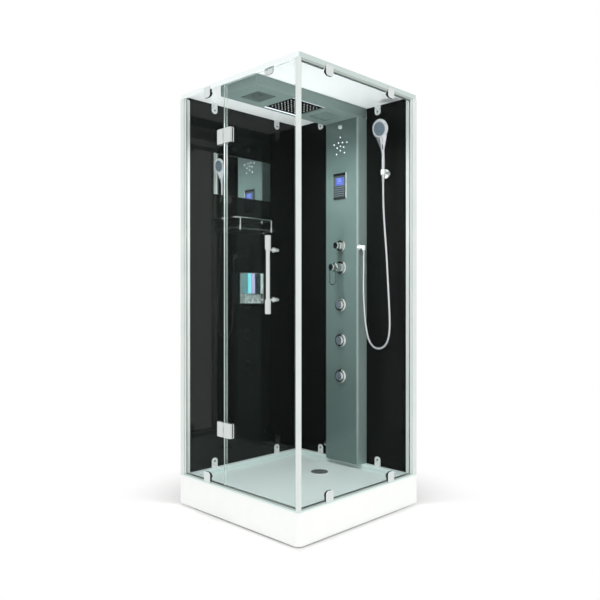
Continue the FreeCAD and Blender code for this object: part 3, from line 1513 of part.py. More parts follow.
# ---- hose, elbow, handset and holder -------------------------------------------------------------
handset_x = right_profile_edge - dim.handset_edge_gap
handset_foot = ceiling - dim.handset_foot_drop
holder_low = handset_foot + dim.handset_shank_length - dim.holder_height - dim.holder_gap
hose_radius = dim.hose_diameter / 2
hose_top = dim.elbow_height - dim.elbow_drop
HOSE_ROUTE = [
    (150, 1378),
    (150, 1290),
    (147, 1165),
    (153, 1045),
    (165, 945),
    (185, 872),
    (223, 833),
    (270, 830),
    (308, 856),
    (328, 906),
    (331, 985),
    (326, 1085),
    (318, 1200),
    (311, 1320),
    (302, 1430),
    (293, 1530),
    (288, 1620),
    (286, 1695),
    (286, 1770),
]


def hose_elbow():
    x = dim.column_x + dim.column_front_half
    arm_foot = (elbow_start, hose_y, dim.elbow_height)
    arm = rod("elbow_arm", arm_foot, "+x", dim.elbow_radius, elbow_x - elbow_start)
    collar = rod("elbow_collar", (x + 6, hose_y, dim.elbow_height), "+x", dim.elbow_collar_radius, 6)
    bend = ball("elbow_bend", (elbow_x, hose_y, dim.elbow_height), dim.elbow_radius)
    drop = rod("elbow_socket", (elbow_x, hose_y, hose_top), "+z", dim.elbow_radius, dim.elbow_drop)
    join("hose_elbow", arm, collar, bend, drop)


def shower_hose():
    points = [Vector(x, hose_y.value, height) for x, height in HOSE_ROUTE]
    points[0] = Vector(elbow_x.value, hose_y.value, hose_top.value)
    points[-1] = Vector(handset_x.value, hose_y.value, handset_foot.value)
    swept_tube("shower_hose", points, hose_radius.value)


def handset():
    """A grip in the holder, a blade that widens from it, and a round head that looks forward and down."""
    x, y, foot = handset_x, hose_y, handset_foot
    shank, grip = dim.handset_shank_length, dim.handset_grip_length
    outline = [
        (0, 0), (dim.handset_shank_radius * 0.8, 0), (dim.handset_shank_radius, 6),
        (dim.handset_shank_radius, shank), (dim.handset_grip_radius, shank),
        (dim.handset_grip_radius, shank + grip * 0.8), (dim.handset_neck_radius, shank + grip),
        (0, shank + grip),
    ]
    handle = turned("handset_handle", (x, y, foot), "+z", outline)
    tilt = dim.handset_head_tilt.value
    neck_rise = dim.handset_head_rise - shank - grip
    neck = doc.addObject("Part::Cone", "handset_neck")
    neck.setExpression("Radius1", dim.handset_neck_radius.formula)
    neck.setExpression("Radius2", dim.handset_throat_radius.formula)
    lean = math.degrees(math.atan2(dim.handset_head_reach.value * 0.8, neck_rise.value))
    neck.setExpression("Height", (neck_rise / math.cos(math.radians(lean))).formula)
    put(neck, (x, y, foot + shank + grip), Rotation(Vector(1, 0, 0), lean))
    joint = ball("handset_joint", (x, y, foot + shank + grip), dim.handset_neck_radius)
    radius, depth = dim.handset_head_radius, dim.handset_head_depth
    blade = new_body("handset_blade")
    low_half, high_half = dim.handset_neck_radius * 0.8, radius * 0.9
    blade_top = neck_rise - dim.handset_blade_stop
    outline = [(-low_half, 0), (low_half, 0), (high_half, blade_top), (-high_half, blade_top)]
    pad(blade, "xz", -dim.handset_blade / 2, dim.handset_blade / 2, outline)
    put(blade, (x, y, foot + shank + grip), Rotation(Vector(1, 0, 0), lean))
    head_outline = [
        (0, 0), (radius * 0.86, 0), (radius, depth * 0.25), (radius, depth * 0.55), (radius * 0.7, depth),
        (radius * 0.25, depth * 1.35), (0, depth * 1.35),
    ]
    head = turned("handset_head", (0, 0, 0), "+y", head_outline)
    head_place = (x, y - dim.handset_head_reach, foot + dim.handset_head_rise)
    put(head, head_place, Rotation(Vector(1, 0, 0), tilt - 90))
    join("handset", handle, neck, joint, blade, head)


def handset_bracket():
    """A holder on an arm, with a round plate on the wall."""
    x, y = handset_x, hose_y
    bore = dim.handset_shank_radius + dim.holder_gap
    outer = bore + dim.holder_wall
    cup = rod("holder_cup", (x, y, holder_low), "+z", outer, dim.holder_height)
    middle = holder_low + dim.holder_height / 2
    arm = rod("holder_arm", (x, y + bore + 1, middle), "+y", dim.holder_arm_radius, back_wall - y - bore - 1)
    flange_x = x - dim.holder_flange_offset
    thick = dim.holder_flange_thickness
    plate = rod("holder_plate", (flange_x, back_wall - thick, middle), "+y", dim.holder_flange_radius, thick)
    blank = join("holder_blank", cup, arm, plate)
    hole = rod("holder_bore", (x, y, holder_low - 1), "+z", bore, dim.holder_height + 2)
    cut("handset_bracket", blank, hole)


# ---- mirror, shelf and dispenser -----------------------------------------------------------------
def mirror():
    low = (left_wall, dim.mirror_near, dim.mirror_low)
    block("mirror", low, (left_wall + dim.mirror_thickness, dim.mirror_far, dim.mirror_high))


def shelf():
    """A glass shelf with a bowed guard rail on two posts."""
    glass = new_body("shelf_glass")
    low, high = dim.shelf_height - dim.shelf_glass / 2, dim.shelf_height + dim.shelf_glass / 2
    edge = left_wall + dim.shelf_depth
    pad(glass, "xy", low, high, rectangle(left_wall, dim.shelf_near, edge, dim.shelf_far))
    round_edges(glass, dim.rail_corner * 0.6, runs_along("z", (edge, dim.shelf_near), (edge, dim.shelf_far)))
    post_x_place = edge - dim.rail_foot_radius - 4
    posts = (dim.rail_post_near, dim.rail_post_far)
    hole = dim.rail_foot_radius + dim.bolt_clearance
    pocket(glass, "xy", low, high, circles=[((post_x_place, y), hole) for y in posts])

    height = dim.shelf_height + dim.rail_rise
    near, far = dim.shelf_near.value + 4, dim.shelf_far.value - 4
    x_wall, x_rail = left_wall.value, post_x_place.value
    bow, corner = dim.rail_bow.value, dim.rail_corner.value
    middle = (near + far) / 2
    route = [
        Vector(x_wall, near, height.value),
        Vector(x_rail, near, height.value),
        Vector(x_rail + bow, middle, height.value),
        Vector(x_rail, far, height.value),
        Vector(x_wall, far, height.value),
    ]
    pieces = [swept_tube("rail_bar", route, dim.rail_radius.value, bend=corner)]
    for name, y in (("near", dim.rail_post_near), ("far", dim.rail_post_far)):
        share = 1 - abs(y.value - middle) / (far - near) * 2
        x = post_x_place + dim.rail_bow * (share * 0.9)
        foot = (x, y, low - 6)
        thick_end = (post_x_place, y, low - 6)
        pieces.append(rod(f"rail_post_{name}", foot, "+z", dim.rail_radius, height - low + 6))
        pieces.append(rod(f"rail_foot_{name}", thick_end, "+z", dim.rail_foot_radius, dim.rail_foot_length))
    for name, y in (("near", near), ("far", far)):
        foot = (left_wall, y, height)
        pieces.append(rod(f"rosette_{name}", foot, "+x", dim.rosette_radius, dim.rosette_thickness))
        lug = block(
            f"shelf_lug_{name}",
            (left_wall, length(y) - 9 if y > 0 else length(y) - 3, low - 8),
            (left_wall + 22, length(y) + 3 if y > 0 else length(y) + 9, low),
        )
        pieces.append(lug)
    rail = join("guard_rail", *[piece for piece in pieces if not piece.Label.startswith("shelf_lug")])
    lugs = [piece for piece in pieces if piece.Label.startswith("shelf_lug")]
    group("shelf_rail", rail, *lugs)


def dispenser():
    """A soap dispenser: a housing on the wall, three chambers, a lid over them and a button under each."""
    wall, x = dim.dispenser_wall, left_wall
    near, far = dim.dispenser_near, dim.dispenser_far
    low, high = dim.dispenser_low, dim.dispenser_high
    face = x + dim.dispenser_depth
    base_top = low + dim.dispenser_base_height
    back_plate = block("dispenser_back", (x, near, low), (x + wall, far, high))
    base = block("dispenser_base", (x, near, low), (face, far, base_top))
    near_side = block("dispenser_near_side", (x, near, low), (face, near + wall, high))
    far_side = block("dispenser_far_side", (x, far - wall, low), (face, far, high))
    span = far - near
    pitch = (span - wall * 2) / 3
    depth = dim.button_travel + 4
    centres = [near + wall + pitch * (number + 0.5) for number in range(3)]
    button_z = low + dim.dispenser_base_height / 2
    hole = dim.button_radius + dim.chamber_gap
    stem = dim.button_stem_length
    wells = []
    for number, y in enumerate(centres):
        wells.append(rod(f"button_well_{number}", (face - depth, y, button_z), "+x", hole, depth + 1))
        stem_foot = (face - depth - stem, y, button_z)
        bore = dim.button_stem_radius + dim.running_clearance
        wells.append(rod(f"stem_bore_{number}", stem_foot, "+x", bore, stem + 1))
    lid_low = high + dim.lid_gap
    pivot_x, pivot_z = x + dim.lid_barrel_radius + 2, lid_low + dim.lid_barrel_radius
    ear_high = pivot_z + dim.lid_barrel_radius
    ear_x = pivot_x + dim.lid_barrel_radius
    near_ear = block("near_ear", (x, near, high), (ear_x, near + wall, ear_high))
    far_ear = block("far_ear", (x, far - wall, high), (ear_x, far, ear_high))
    pin = rod("lid_pin", (pivot_x, near, pivot_z), "+y", dim.lid_pin_radius, far - near)
    blank = join("dispenser_blank", back_plate, base, near_side, far_side, near_ear, far_ear, pin)
    cut("dispenser_body", blank, *wells)
    chambers = []
    for number, y in enumerate(centres):
        half = pitch / 2 - dim.chamber_gap
        corner = (x + wall + dim.chamber_gap, y - half, base_top)
        chambers.append(block(f"chamber_{number}", corner, (face, y + half, high - dim.lid_gap)))
    group("dispenser_chambers", *chambers)
    for number, y in enumerate(centres, start=1):
        foot = (face - depth + dim.button_travel + 1, y, button_z)
        reach = depth - dim.button_travel - 1 + dim.button_proud
        cap = rod(f"button_cap_{number}", foot, "+x", dim.button_radius, reach)
        shank = rod(f"button_stem_{number}", foot, "-x", dim.button_stem_radius, stem)
        join(f"dispenser_button_{number}", cap, shank)
    side_gap = wall + dim.lid_gap
    lid_corner = (pivot_x, near + side_gap, lid_low)
    plate = block("lid_plate", lid_corner, (face, far - side_gap, lid_low + dim.lid_thickness))
    barrel_foot = (pivot_x, near + side_gap, pivot_z)
    barrel = rod("lid_barrel", barrel_foot, "+y", dim.lid_barrel_radius, far - near - side_gap * 2)
    pin_bore = rod("lid_bore", barrel_foot, "+y", dim.lid_pin_radius + dim.running_clearance, far - near)
    cut("dispenser_lid", join("lid_blank", plate, barrel), pin_bore)


# ---- build ---------------------------------------------------------------------------------------
SUB_PARTS = [
    tray, tray_skirt, tray_frame, adjustable_feet, drain_trap, drain_cover,
    wall_panels, rear_corner_profile, end_profiles, corner_post, glass_rails, fixed_glass, roof_panel,
    glass_clamps, door_glass, hinges, door_handle, handle_mounts, door_seals,
    column_shell, column_leds, control_panel, valve_plates, handles_on_the_column, jets, water_pipes,
    steam_generator, ceiling_box, rain_head, ceiling_lights, fan,
    hose_elbow, shower_hose, handset, handset_bracket, mirror, shelf, dispenser,
]
NODES = [
    "tray", "tray_skirt", "tray_frame", "adjustable_feet", "drain_trap", "drain_cover",
    "left_wall_panel", "back_wall_panels", "rear_corner_profile", "left_end_profile", "right_end_profile",
    "corner_post", "glass_rails", "front_fixed_glass", "side_glass", "roof_panel",
    "glass_clamps", "panel_clips", "fasteners", "door_glass", "hinge_fixed_plates", "door_hinge_plates",
    "hinge_pins", "door_handle", "handle_mounts", "door_seals",
    "column_shell", "column_leds", "speaker", "control_panel", "display_screen", "valve_plates",
    "diverter_knob", "mixer_barrel", "mixer_loop", "jet_rings",
    "jet_nozzle_upper", "jet_nozzle_middle", "jet_nozzle_lower", "water_pipes", "steam_generator",
    "ceiling_box", "rain_head", "ceiling_lights", "fan_grille", "fan_housing", "fan_rotor",
    "hose_elbow", "shower_hose", "handset", "handset_bracket", "mirror", "shelf_glass", "shelf_rail",
    "dispenser_body", "dispenser_chambers", "dispenser_lid",
    "dispenser_button_1", "dispenser_button_2", "dispenser_button_3",
]


def check_and_export():
    """Stops on any failed object or broken shape, and then writes one file for each sub-part."""
    for thing in doc.Objects:
        if "Invalid" in thing.State or "Error" in thing.State:
            raise RuntimeError(f"{thing.Label} did not recompute: {thing.State}")
    os.makedirs("parts", exist_ok=True)
    shapes = {}
    for node in NODES:
        shape = doc.getObjectsByLabel(node)[0].Shape
        if shape.isNull() or not shape.isValid() or not shape.Solids:
            raise RuntimeError(f"{node} has no sound solid")
        shapes[node] = shape
    for node, shape in shapes.items():
        shape.exportStep(f"parts/{node}.step")
        print(f"{node}: {len(shape.Solids)} solids, {shape.Volume / 1000:.1f} cm3")


for build in SUB_PARTS:
    build()
doc.recompute()
check_and_export()
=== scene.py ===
"""A square steam shower cabin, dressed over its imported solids.

The solids are loaded as a fixed frame. The stage, the hose and the pieces of the cabin are then made one
group at a time, each by its own operator, and every solid that stays gets a finish.
"""
import math

import bpy
from bpy.props import FloatProperty, FloatVectorProperty, IntProperty, PointerProperty
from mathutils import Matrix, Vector


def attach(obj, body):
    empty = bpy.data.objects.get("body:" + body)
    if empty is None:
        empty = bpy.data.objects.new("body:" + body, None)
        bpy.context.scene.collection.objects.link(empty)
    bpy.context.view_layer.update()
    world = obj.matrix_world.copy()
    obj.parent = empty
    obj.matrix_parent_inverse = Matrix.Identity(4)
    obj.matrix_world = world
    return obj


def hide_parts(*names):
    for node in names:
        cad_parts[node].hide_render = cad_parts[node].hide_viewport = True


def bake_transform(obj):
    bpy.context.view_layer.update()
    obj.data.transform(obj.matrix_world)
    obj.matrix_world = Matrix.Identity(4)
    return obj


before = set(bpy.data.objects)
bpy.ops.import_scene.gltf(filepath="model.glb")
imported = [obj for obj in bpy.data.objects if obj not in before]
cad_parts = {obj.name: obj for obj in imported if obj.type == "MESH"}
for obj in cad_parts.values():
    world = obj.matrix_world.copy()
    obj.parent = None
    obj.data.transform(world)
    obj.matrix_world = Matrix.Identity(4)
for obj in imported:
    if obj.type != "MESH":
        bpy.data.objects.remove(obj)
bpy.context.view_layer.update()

bl_info = {
    "name": "Steam shower cabin",
    "version": (1, 0, 0),
    "blender": (4, 5, 0),
    "location": "View3D > Sidebar > Cabin",
    "description": "Makes a steam shower cabin with its glass, column, fittings and stage",
    "category": "Object",
}

# Places that several pieces share, in metres.
COLUMN_X = -0.012
COLUMN_FRONT = 0.359
LIGHTS_X = COLUMN_X - 0.005
LAMP_HEIGHT = 2.101
LIGHTS_HEIGHT = 1.990
PANEL_X = COLUMN_X - 0.006
DISPLAY_FACE = 0.3526
KNOB_BACK = 0.3496
DIVERTER_HEIGHT = 1.412
MIXER_HEIGHT = 1.286
JET_HEIGHTS = {"upper": 1.071, "middle": 0.865, "lower": 0.659}
HOSE_ROUTE = [
    (0.150, 0.370, 1.378),
    (0.150, 0.370, 1.290),
    (0.147, 0.370, 1.165),
    (0.153, 0.370, 1.045),
    (0.165, 0.370, 0.945),
    (0.185, 0.370, 0.872),
    (0.223, 0.370, 0.833),
    (0.270, 0.370, 0.830),
    (0.308, 0.370, 0.856),
    (0.328, 0.370, 0.906),
    (0.331, 0.370, 0.985),
    (0.326, 0.370, 1.085),
    (0.318, 0.370, 1.200),
    (0.311, 0.370, 1.320),
    (0.302, 0.370, 1.430),
    (0.293, 0.370, 1.530),
    (0.288, 0.370, 1.620),
    (0.286, 0.370, 1.695),
    (0.286, 0.370, 1.770),
]
HANDSET_FOOT = Vector((0.286, 0.370, 1.770))
HEAD_CENTRE = Vector((0.286, 0.336, 2.030))
HEAD_TILT = math.radians(12)
SMOOTH_ANGLE = math.radians(32)
BASIN_FLOOR = 0.1405
NOZZLE_TOPS = 2.1378
UPWARD = (0, 0, 1)
TO_THE_DOOR = (0, -1, 0)
# The photograph's camera, fitted to the straight edges of the tray, the roof and the near post.
CAMERA_PLACE = (2.47118569, -2.46916123, 1.11048828)
CAMERA_TURN = (math.radians(90) - 0.00228716, 0, math.radians(45.0234787))
CAMERA_LENS = 38.893
CAMERA_SHIFT = (0.00237, -0.00107)


# ---- finishes ------------------------------------------------------------------------------------
def linear(hex_colour):
    """An sRGB hex colour as linear red, green, blue and alpha."""
    channels = [int(hex_colour[at:at + 2], 16) / 255 for at in (1, 3, 5)]
    return tuple(c / 12.92 if c <= 0.04045 else ((c + 0.055) / 1.055) ** 2.4 for c in channels) + (1.0,)


def add(material, kind, settings=None, inputs=None):
    """Adds a node with its settings. An input is a plain value, or the output that feeds it."""
    tree = material.node_tree
    node = tree.nodes.new(kind)
    for name, value in (settings or {}).items():
        setattr(node, name, value)
    for name, value in (inputs or {}).items():
        if isinstance(value, bpy.types.NodeSocket):
            tree.links.new(value, node.inputs[name])
        else:
            node.inputs[name].default_value = value
    return node


def new_finish(name, colour, roughness, metallic=0.0, **sockets):
    """A material with one shader whose constants are set on its own sockets."""
    material = bpy.data.materials.new(name)
    material.use_nodes = True
    shader = material.node_tree.nodes["Principled BSDF"]
    shader.inputs["Base Color"].default_value = linear(colour)
    shader.inputs["Roughness"].default_value = roughness
    shader.inputs["Metallic"].default_value = metallic
    for socket, value in sockets.items():
        shader.inputs[socket.replace("_", " ")].default_value = value
    return material


def feed(material, socket, output):
    """Feeds one of the shader's sockets."""
    shader = material.node_tree.nodes["Principled BSDF"]
    material.node_tree.links.new(output, shader.inputs[socket])


def raise_surface(material, height, distance):
    """Adds a relief on top of any relief that the finish has already."""
    shader = material.node_tree.nodes["Principled BSDF"]
    inputs = {"Height": height, "Distance": distance, "Strength": 1.0}
    if shader.inputs["Normal"].is_linked:
        inputs["Normal"] = shader.inputs["Normal"].links[0].from_socket
    feed(material, "Normal", add(material, "ShaderNodeBump", inputs=inputs).outputs["Normal"])


def grain(
    material, size, stretch=(1, 1, 1), relief=0.0, colours=None, roughness=None, detail=2.0,
    spread=(0.2, 0.8),
):
    """Gives a finish a grain of one real size in metres: relief, a run of colour and a run of roughness."""
    spot = add(material, "ShaderNodeTexCoord")
    scale = [1 / (size * factor) for factor in stretch]
    place = add(material, "ShaderNodeMapping", inputs={"Vector": spot.outputs["Object"], "Scale": scale})
    noise = add(
        material, "ShaderNodeTexNoise",
        inputs={"Vector": place.outputs["Vector"], "Scale": 1.0, "Detail": detail},
    )
    if relief:
        raise_surface(material, noise.outputs[0], relief)
    share = add(
        material, "ShaderNodeMapRange",
        inputs={"Value": noise.outputs[0], "From Min": spread[0], "From Max": spread[1]},
    )
    if colours:
        mix = add(
            material, "ShaderNodeMix", {"data_type": "RGBA"},
            {0: share.outputs[0], 6: linear(colours[0]), 7: linear(colours[1])},
        )
        feed(material, "Base Color", mix.outputs[2])
    if roughness:
        polish = add(
            material, "ShaderNodeMapRange",
            inputs={"Value": share.outputs[0], "To Min": roughness[0], "To Max": roughness[1]},
        )
        feed(material, "Roughness", polish.outputs[0])


def along(material, space, axis):
    """One coordinate of the place, the normal or the UV map that a finish is looked up at."""
    spot = add(material, "ShaderNodeTexCoord")
    parts = add(material, "ShaderNodeSeparateXYZ", inputs={"Vector": spot.outputs[space]})
    return parts.outputs[axis]


def two_skins(material, share, *skins, size=0.01, detail=2.0):
    """Colours a finish with one skin where the share is nought and with the other where it is one.

    A skin is a colour, or two colours that a noise of one real size in metres runs between.
    """
    tones = []
    for colours in skins:
        tone = linear(colours[0])
        if len(colours) == 2:
            spot = add(material, "ShaderNodeTexCoord")
            noise = add(
                material, "ShaderNodeTexNoise",
                inputs={"Vector": spot.outputs["Object"], "Scale": 1 / size, "Detail": detail},
            )
            cloud = add(
                material, "ShaderNodeMix", {"data_type": "RGBA"},
                {0: noise.outputs[0], 6: tone, 7: linear(colours[1])},
            )
            tone = cloud.outputs[2]
        tones.append(tone)
    colour = add(material, "ShaderNodeMix", {"data_type": "RGBA"}, {0: share, 6: tones[0], 7: tones[1]})
    feed(material, "Base Color", colour.outputs[2])


def cast_acrylic():
    # Gel-coated acrylic over glass fibre: a hard white gloss with a faint wave left by the vacuum mould.
    material = new_finish("cast_acrylic", "#F0F2EF", 0.22)
    grain(material, 0.060, relief=0.0002, colours=("#EFF1EF", "#F2F4F1"), roughness=(0.2, 0.26))
    return material


def non_slip_acrylic():
    # Gel-coated acrylic with a cool tint in the basin, where small raised beads keep a foot from slipping.
    material = new_finish("non_slip_acrylic", "#D5E5E2", 0.32)
    grain(material, 0.080, roughness=(0.3, 0.36))
    spot = add(material, "ShaderNodeTexCoord")
    # Beads 9 mm apart: coarser than the real 6 mm, so that they show.
    beads = add(
        material, "ShaderNodeTexVoronoi", {"voronoi_dimensions": "2D"},
        {"Vector": spot.outputs["Object"], "Scale": 1 / 0.009, "Randomness": 0.25},
    )
    dome = add(
        material, "ShaderNodeMapRange", {"interpolation_type": "SMOOTHSTEP"},
        {
            "Value": beads.outputs["Distance"], "From Min": 0.15, "From Max": 0.42,
            "To Min": 1.0, "To Max": 0.0,
        },
    )
    low = add(
        material, "ShaderNodeMath", {"operation": "LESS_THAN"},
        {0: along(material, "Object", "Z"), 1: BASIN_FLOOR},
    )
    height = add(
        material, "ShaderNodeMath", {"operation": "MULTIPLY"}, {0: dome.outputs[0], 1: low.outputs[0]},
    )
    raise_surface(material, height.outputs[0], 0.0014)
    # The beads' tops are painted paler than the hollows between them: painted light on the tops and painted
    # shade in the hollows.
    two_skins(material, height.outputs[0], ["#CFE1DE"], ["#E6F2EF"])
    return material


def back_painted_glass(name, gloss):
    # Toughened glass painted black behind: the paint lies under a clean, mirror-flat face.
    material = new_finish("back_painted_glass_" + name, "#0D100E", 0.03, Specular_IOR_Level=gloss)
    grain(material, 0.35, colours=("#0B0E0C", "#0F1211"), roughness=(0.02, 0.05))
    return material


def float_glass(broad_axis, edge_alpha):
    # Clear toughened glass: all but unseen face on, with a pale green, cloudy light in its ground edges.
    material = new_finish("float_glass_" + broad_axis.lower(), "#18211F", 0.02)
    size = add(
        material, "ShaderNodeMath", {"operation": "ABSOLUTE"}, {0: along(material, "Normal", broad_axis)},
    )
    edge = add(material, "ShaderNodeMath", {"operation": "LESS_THAN"}, {0: size.outputs[0], 1: 0.8})
    two_skins(material, edge.outputs[0], ["#18211F"], ["#B4C9C3", "#DAE6E2"], size=0.111)
    alpha = add(
        material, "ShaderNodeMapRange",
        inputs={"Value": edge.outputs[0], "To Min": 0.025, "To Max": edge_alpha},
    )
    feed(material, "Alpha", alpha.outputs[0])
    return material


def satin_anodised_aluminium():
    # Extruded aluminium, etched and anodised: pale, satin, with faint draw lines along the bar.
    material = new_finish("satin_anodised_aluminium", "#DDE4E1", 0.38, 0.55)
    grain(material, 0.0012, stretch=(1, 1, 60), relief=0.00004, roughness=(0.32, 0.46))
    grain(material, 0.15, colours=("#D8E0DD", "#E3E9E6"))
    return material


def rail_aluminium():
    # The same alloy in the sills, painted a darker grey green as painted shade, with draw lines along both
    # sills.
    material = new_finish("rail_aluminium", "#AEB9B4", 0.4, 0.75)
    grain(material, 0.0015, stretch=(40, 40, 1), relief=0.00004, roughness=(0.34, 0.48))
    grain(material, 0.12, colours=("#A7B3AE", "#B8C2BD"))
    return material


def moulded_white_plastic():
    # Thermoformed ABS sheet for the roof: cool white with a soft gloss.
    material = new_finish("moulded_white_plastic", "#EAF0F0", 0.3)
    grain(material, 0.09, relief=0.0002, roughness=(0.27, 0.34))
    # The trimmed edge on the right is painted greyer: painted shade on that side of the roof.
    rim = add(
        material, "ShaderNodeMapRange",
        inputs={"Value": along(material, "Normal", "X"), "From Min": 0.6, "From Max": 0.9},
    )
    two_skins(material, rim.outputs[0], ["#E9F0F0", "#EEF4F4"], ["#BECCC9"], size=0.091)
    return material


def polished_chrome():
    # Chrome plate over polished brass: a clean mirror, dulled a little in patches by water.
    material = new_finish("polished_chrome", "#D4DAD8", 0.08, 1.0)
    grain(material, 0.02, roughness=(0.05, 0.14), relief=0.00001)
    return material


def clamp_chrome():
    # Chrome plate whose thick edges are painted dark: a painted reflection of the dark cabin behind them.
    material = new_finish("clamp_chrome", "#DCDEDF", 0.1, 1.0)
    # The clamps on the side pane face +X, and the others face the door's side.
    on_side = add(
        material, "ShaderNodeMath", {"operation": "GREATER_THAN"},
        {0: along(material, "Object", "X"), 1: 0.4},
    )
    facing = add(
        material, "ShaderNodeMix", {"data_type": "FLOAT"},
        {0: on_side.outputs[0], 2: along(material, "Normal", "Y"), 3: along(material, "Normal", "X")},
    )
    size = add(material, "ShaderNodeMath", {"operation": "ABSOLUTE"}, {0: facing.outputs[0]})
    edge = add(material, "ShaderNodeMath", {"operation": "LESS_THAN"}, {0: size.outputs[0], 1: 0.5})
    two_skins(material, edge.outputs[0], ["#D6DCDA", "#E2E8E6"], ["#3A4243"], size=0.025)
    return material


def dark_chrome():
    # Black nickel plate on the small screws and the mixer's loop.
    material = new_finish("dark_chrome", "#6F7676", 0.2, 1.0)
    grain(material, 0.015, colours=("#686F6F", "#7B8282"), roughness=(0.14, 0.26))
    return material


def nickel_washed_steel():
    # Steel with a thin bright plating, slightly cloudy: the clips, the hose's elbow and the holder.
    material = new_finish("nickel_washed_steel", "#E3E8E6", 0.3, 0.15)
    grain(material, 0.012, colours=("#D6DDDB", "#E6EAE8"), roughness=(0.22, 0.36), relief=0.00003)
    return material


def zinc_plated_steel():
    # Electroplated tube: grey, with the large soft spangle of zinc.
    material = new_finish("zinc_plated_steel", "#A9ADAF", 0.42, 0.9)
    grain(material, 0.018, colours=("#9DA2A5", "#B7BABC"), roughness=(0.35, 0.52), detail=0.0)
    return material


def brushed_steel():
    # Stainless sheet with a fine brush mark round it.
    material = new_finish("brushed_steel", "#B9BCBE", 0.3, 1.0)
    grain(material, 0.001, stretch=(30, 30, 1), relief=0.00003, roughness=(0.22, 0.4))
    return material


def bare_brass():
    # Machined brass, warm, with small tarnished patches.
    material = new_finish("bare_brass", "#C9A45C", 0.28, 1.0)
    grain(material, 0.02, colours=("#B48E48", "#D4B26C"), roughness=(0.2, 0.42))
    return material


def white_pvc():
    # Injection-moulded PVC for the waste trap, with a fine satin grain.
    material = new_finish("white_pvc", "#E3E3DE", 0.45)
    grain(material, 0.0015, relief=0.00003, roughness=(0.4, 0.52))
    grain(material, 0.05, colours=("#DEDED8", "#E8E8E4"))
    return material


def black_plastic():
    # Glass-filled nylon, matt black with a fine sparkle.
    material = new_finish("black_plastic", "#1B1C1D", 0.55)
    grain(material, 0.0012, relief=0.00005, colours=("#161718", "#232526"), roughness=(0.45, 0.65))
    return material


def grey_green_abs():
    # ABS lacquered a metallic grey green: fine flake under a clear coat, with a slight orange peel.
    material = new_finish("grey_green_abs", "#5F7471", 0.32, 0.2, Coat_Weight=0.25, Coat_Roughness=0.12)
    grain(material, 0.004, relief=0.00002, roughness=(0.26, 0.38))
    # The turned-back flanks are painted paler, as painted light that falls on them.
    turn = add(material, "ShaderNodeMath", {"operation": "ABSOLUTE"}, {0: along(material, "Normal", "X")})
    painted_light_flank = add(
        material, "ShaderNodeMapRange", inputs={"Value": turn.outputs[0], "From Min": 0.25, "From Max": 0.7},
    )
    two_skins(material, painted_light_flank.outputs[0], ["#526764", "#6C817D"], ["#8B9D99"], size=0.0009, detail=1.0)
    return material


def shadow_green_abs():
    # The same lacquer on the ceiling box, a tone paler, because the box hangs in shadow.
    material = new_finish("shadow_green_abs", "#788B87", 0.36, 0.15)
    grain(material, 0.0012, colours=("#6F827E", "#819490"), spread=(0.3, 0.7), detail=1.0)
    grain(material, 0.005, relief=0.00002, roughness=(0.3, 0.42))
    return material


def smoked_abs():
    # The dark moulding round the display, glossy as a telephone.
    material = new_finish("smoked_abs", "#3C4746", 0.18)
    grain(material, 0.003, relief=0.00001, roughness=(0.14, 0.24))
    grain(material, 0.03, colours=("#374240", "#434F4D"))
    return material


def gloss_black():
    # Piano-black ABS in the caps and bars: a deep, wet-looking gloss.
    material = new_finish("gloss_black", "#0E1212", 0.12)
    grain(material, 0.02, colours=("#0B0F0F", "#141818"), roughness=(0.1, 0.18))
    return material


def key_rubber():
    # Silicone keys, blue grey and matt, worn a little smoother in the middle.
    material = new_finish("key_rubber", "#4E5A60", 0.5)
    grain(material, 0.006, colours=("#46525A", "#5A666A"), roughness=(0.4, 0.58))
    return material


def pearl_glass():
    # Opal glass over an unlit lamp: pearly, with a soft highlight.
    material = new_finish("pearl_glass", "#C6D2CF", 0.2, Coat_Weight=0.3)
    grain(material, 0.006, colours=("#B4C4C0", "#DCE5E2"), roughness=(0.16, 0.26))
    return material


def satin_nickel():
    # Nickel plate brushed to a satin, on the waste cover.
    material = new_finish("satin_nickel", "#7C8987", 0.34, 0.6)
    grain(material, 0.004, colours=("#707D7B", "#8A9694"), roughness=(0.28, 0.42), relief=0.00002)
    return material


def lit_lens():
    # Clear acrylic over a white diode: milky, with a little light of its own.
    material = new_finish(
        "lit_lens", "#F4F8FF", 0.12, Emission_Color=linear("#EAF1FF"), Emission_Strength=1.2,
    )
    grain(material, 0.004, relief=0.00005, colours=("#EEF3FA", "#FBFDFF"), roughness=(0.08, 0.2))
    return material


def ribbed_lens():
    # Pressed acrylic over an unlit lamp: a dull grey green with a wet-looking gloss.
    material = new_finish("ribbed_lens", "#6B7D78", 0.16)
    grain(material, 0.02, colours=("#61736E", "#768883"), roughness=(0.12, 0.22))
    return material


def rain_plate():
    # A black glossy plate, with pale rubber nozzles that stand under it.
    material = new_finish("rain_plate", "#191D1D", 0.1)
    nozzle = add(
        material, "ShaderNodeMath", {"operation": "LESS_THAN"},
        {0: along(material, "Object", "Z"), 1: NOZZLE_TOPS},
    )
    two_skins(material, nozzle.outputs[0], ["#141818", "#222828"], ["#D5DAD8"], size=0.0167)
    polish = add(
        material, "ShaderNodeMapRange", inputs={"Value": nozzle.outputs[0], "To Min": 0.08, "To Max": 0.4},
    )
    feed(material, "Roughness", polish.outputs[0])
    return material


def blue_display():
    # Liquid crystal lit from behind, seen through a hard clear window.
    material = new_finish(
        "blue_display", "#44549A", 0.14, Emission_Color=linear("#44549A"), Emission_Strength=0.12,
    )
    grain(material, 0.03, colours=("#3B4A90", "#5060A8"), roughness=(0.08, 0.16))
    return material


def pale_mark():
    # Printed marks and segments that shine pale blue in the display.
    material = new_finish(
        "pale_mark", "#6C7CC0", 0.3, Emission_Color=linear("#6C7CC0"), Emission_Strength=0.1,
    )
    grain(material, 0.006, colours=("#6273BA", "#7887C8"))
    return material


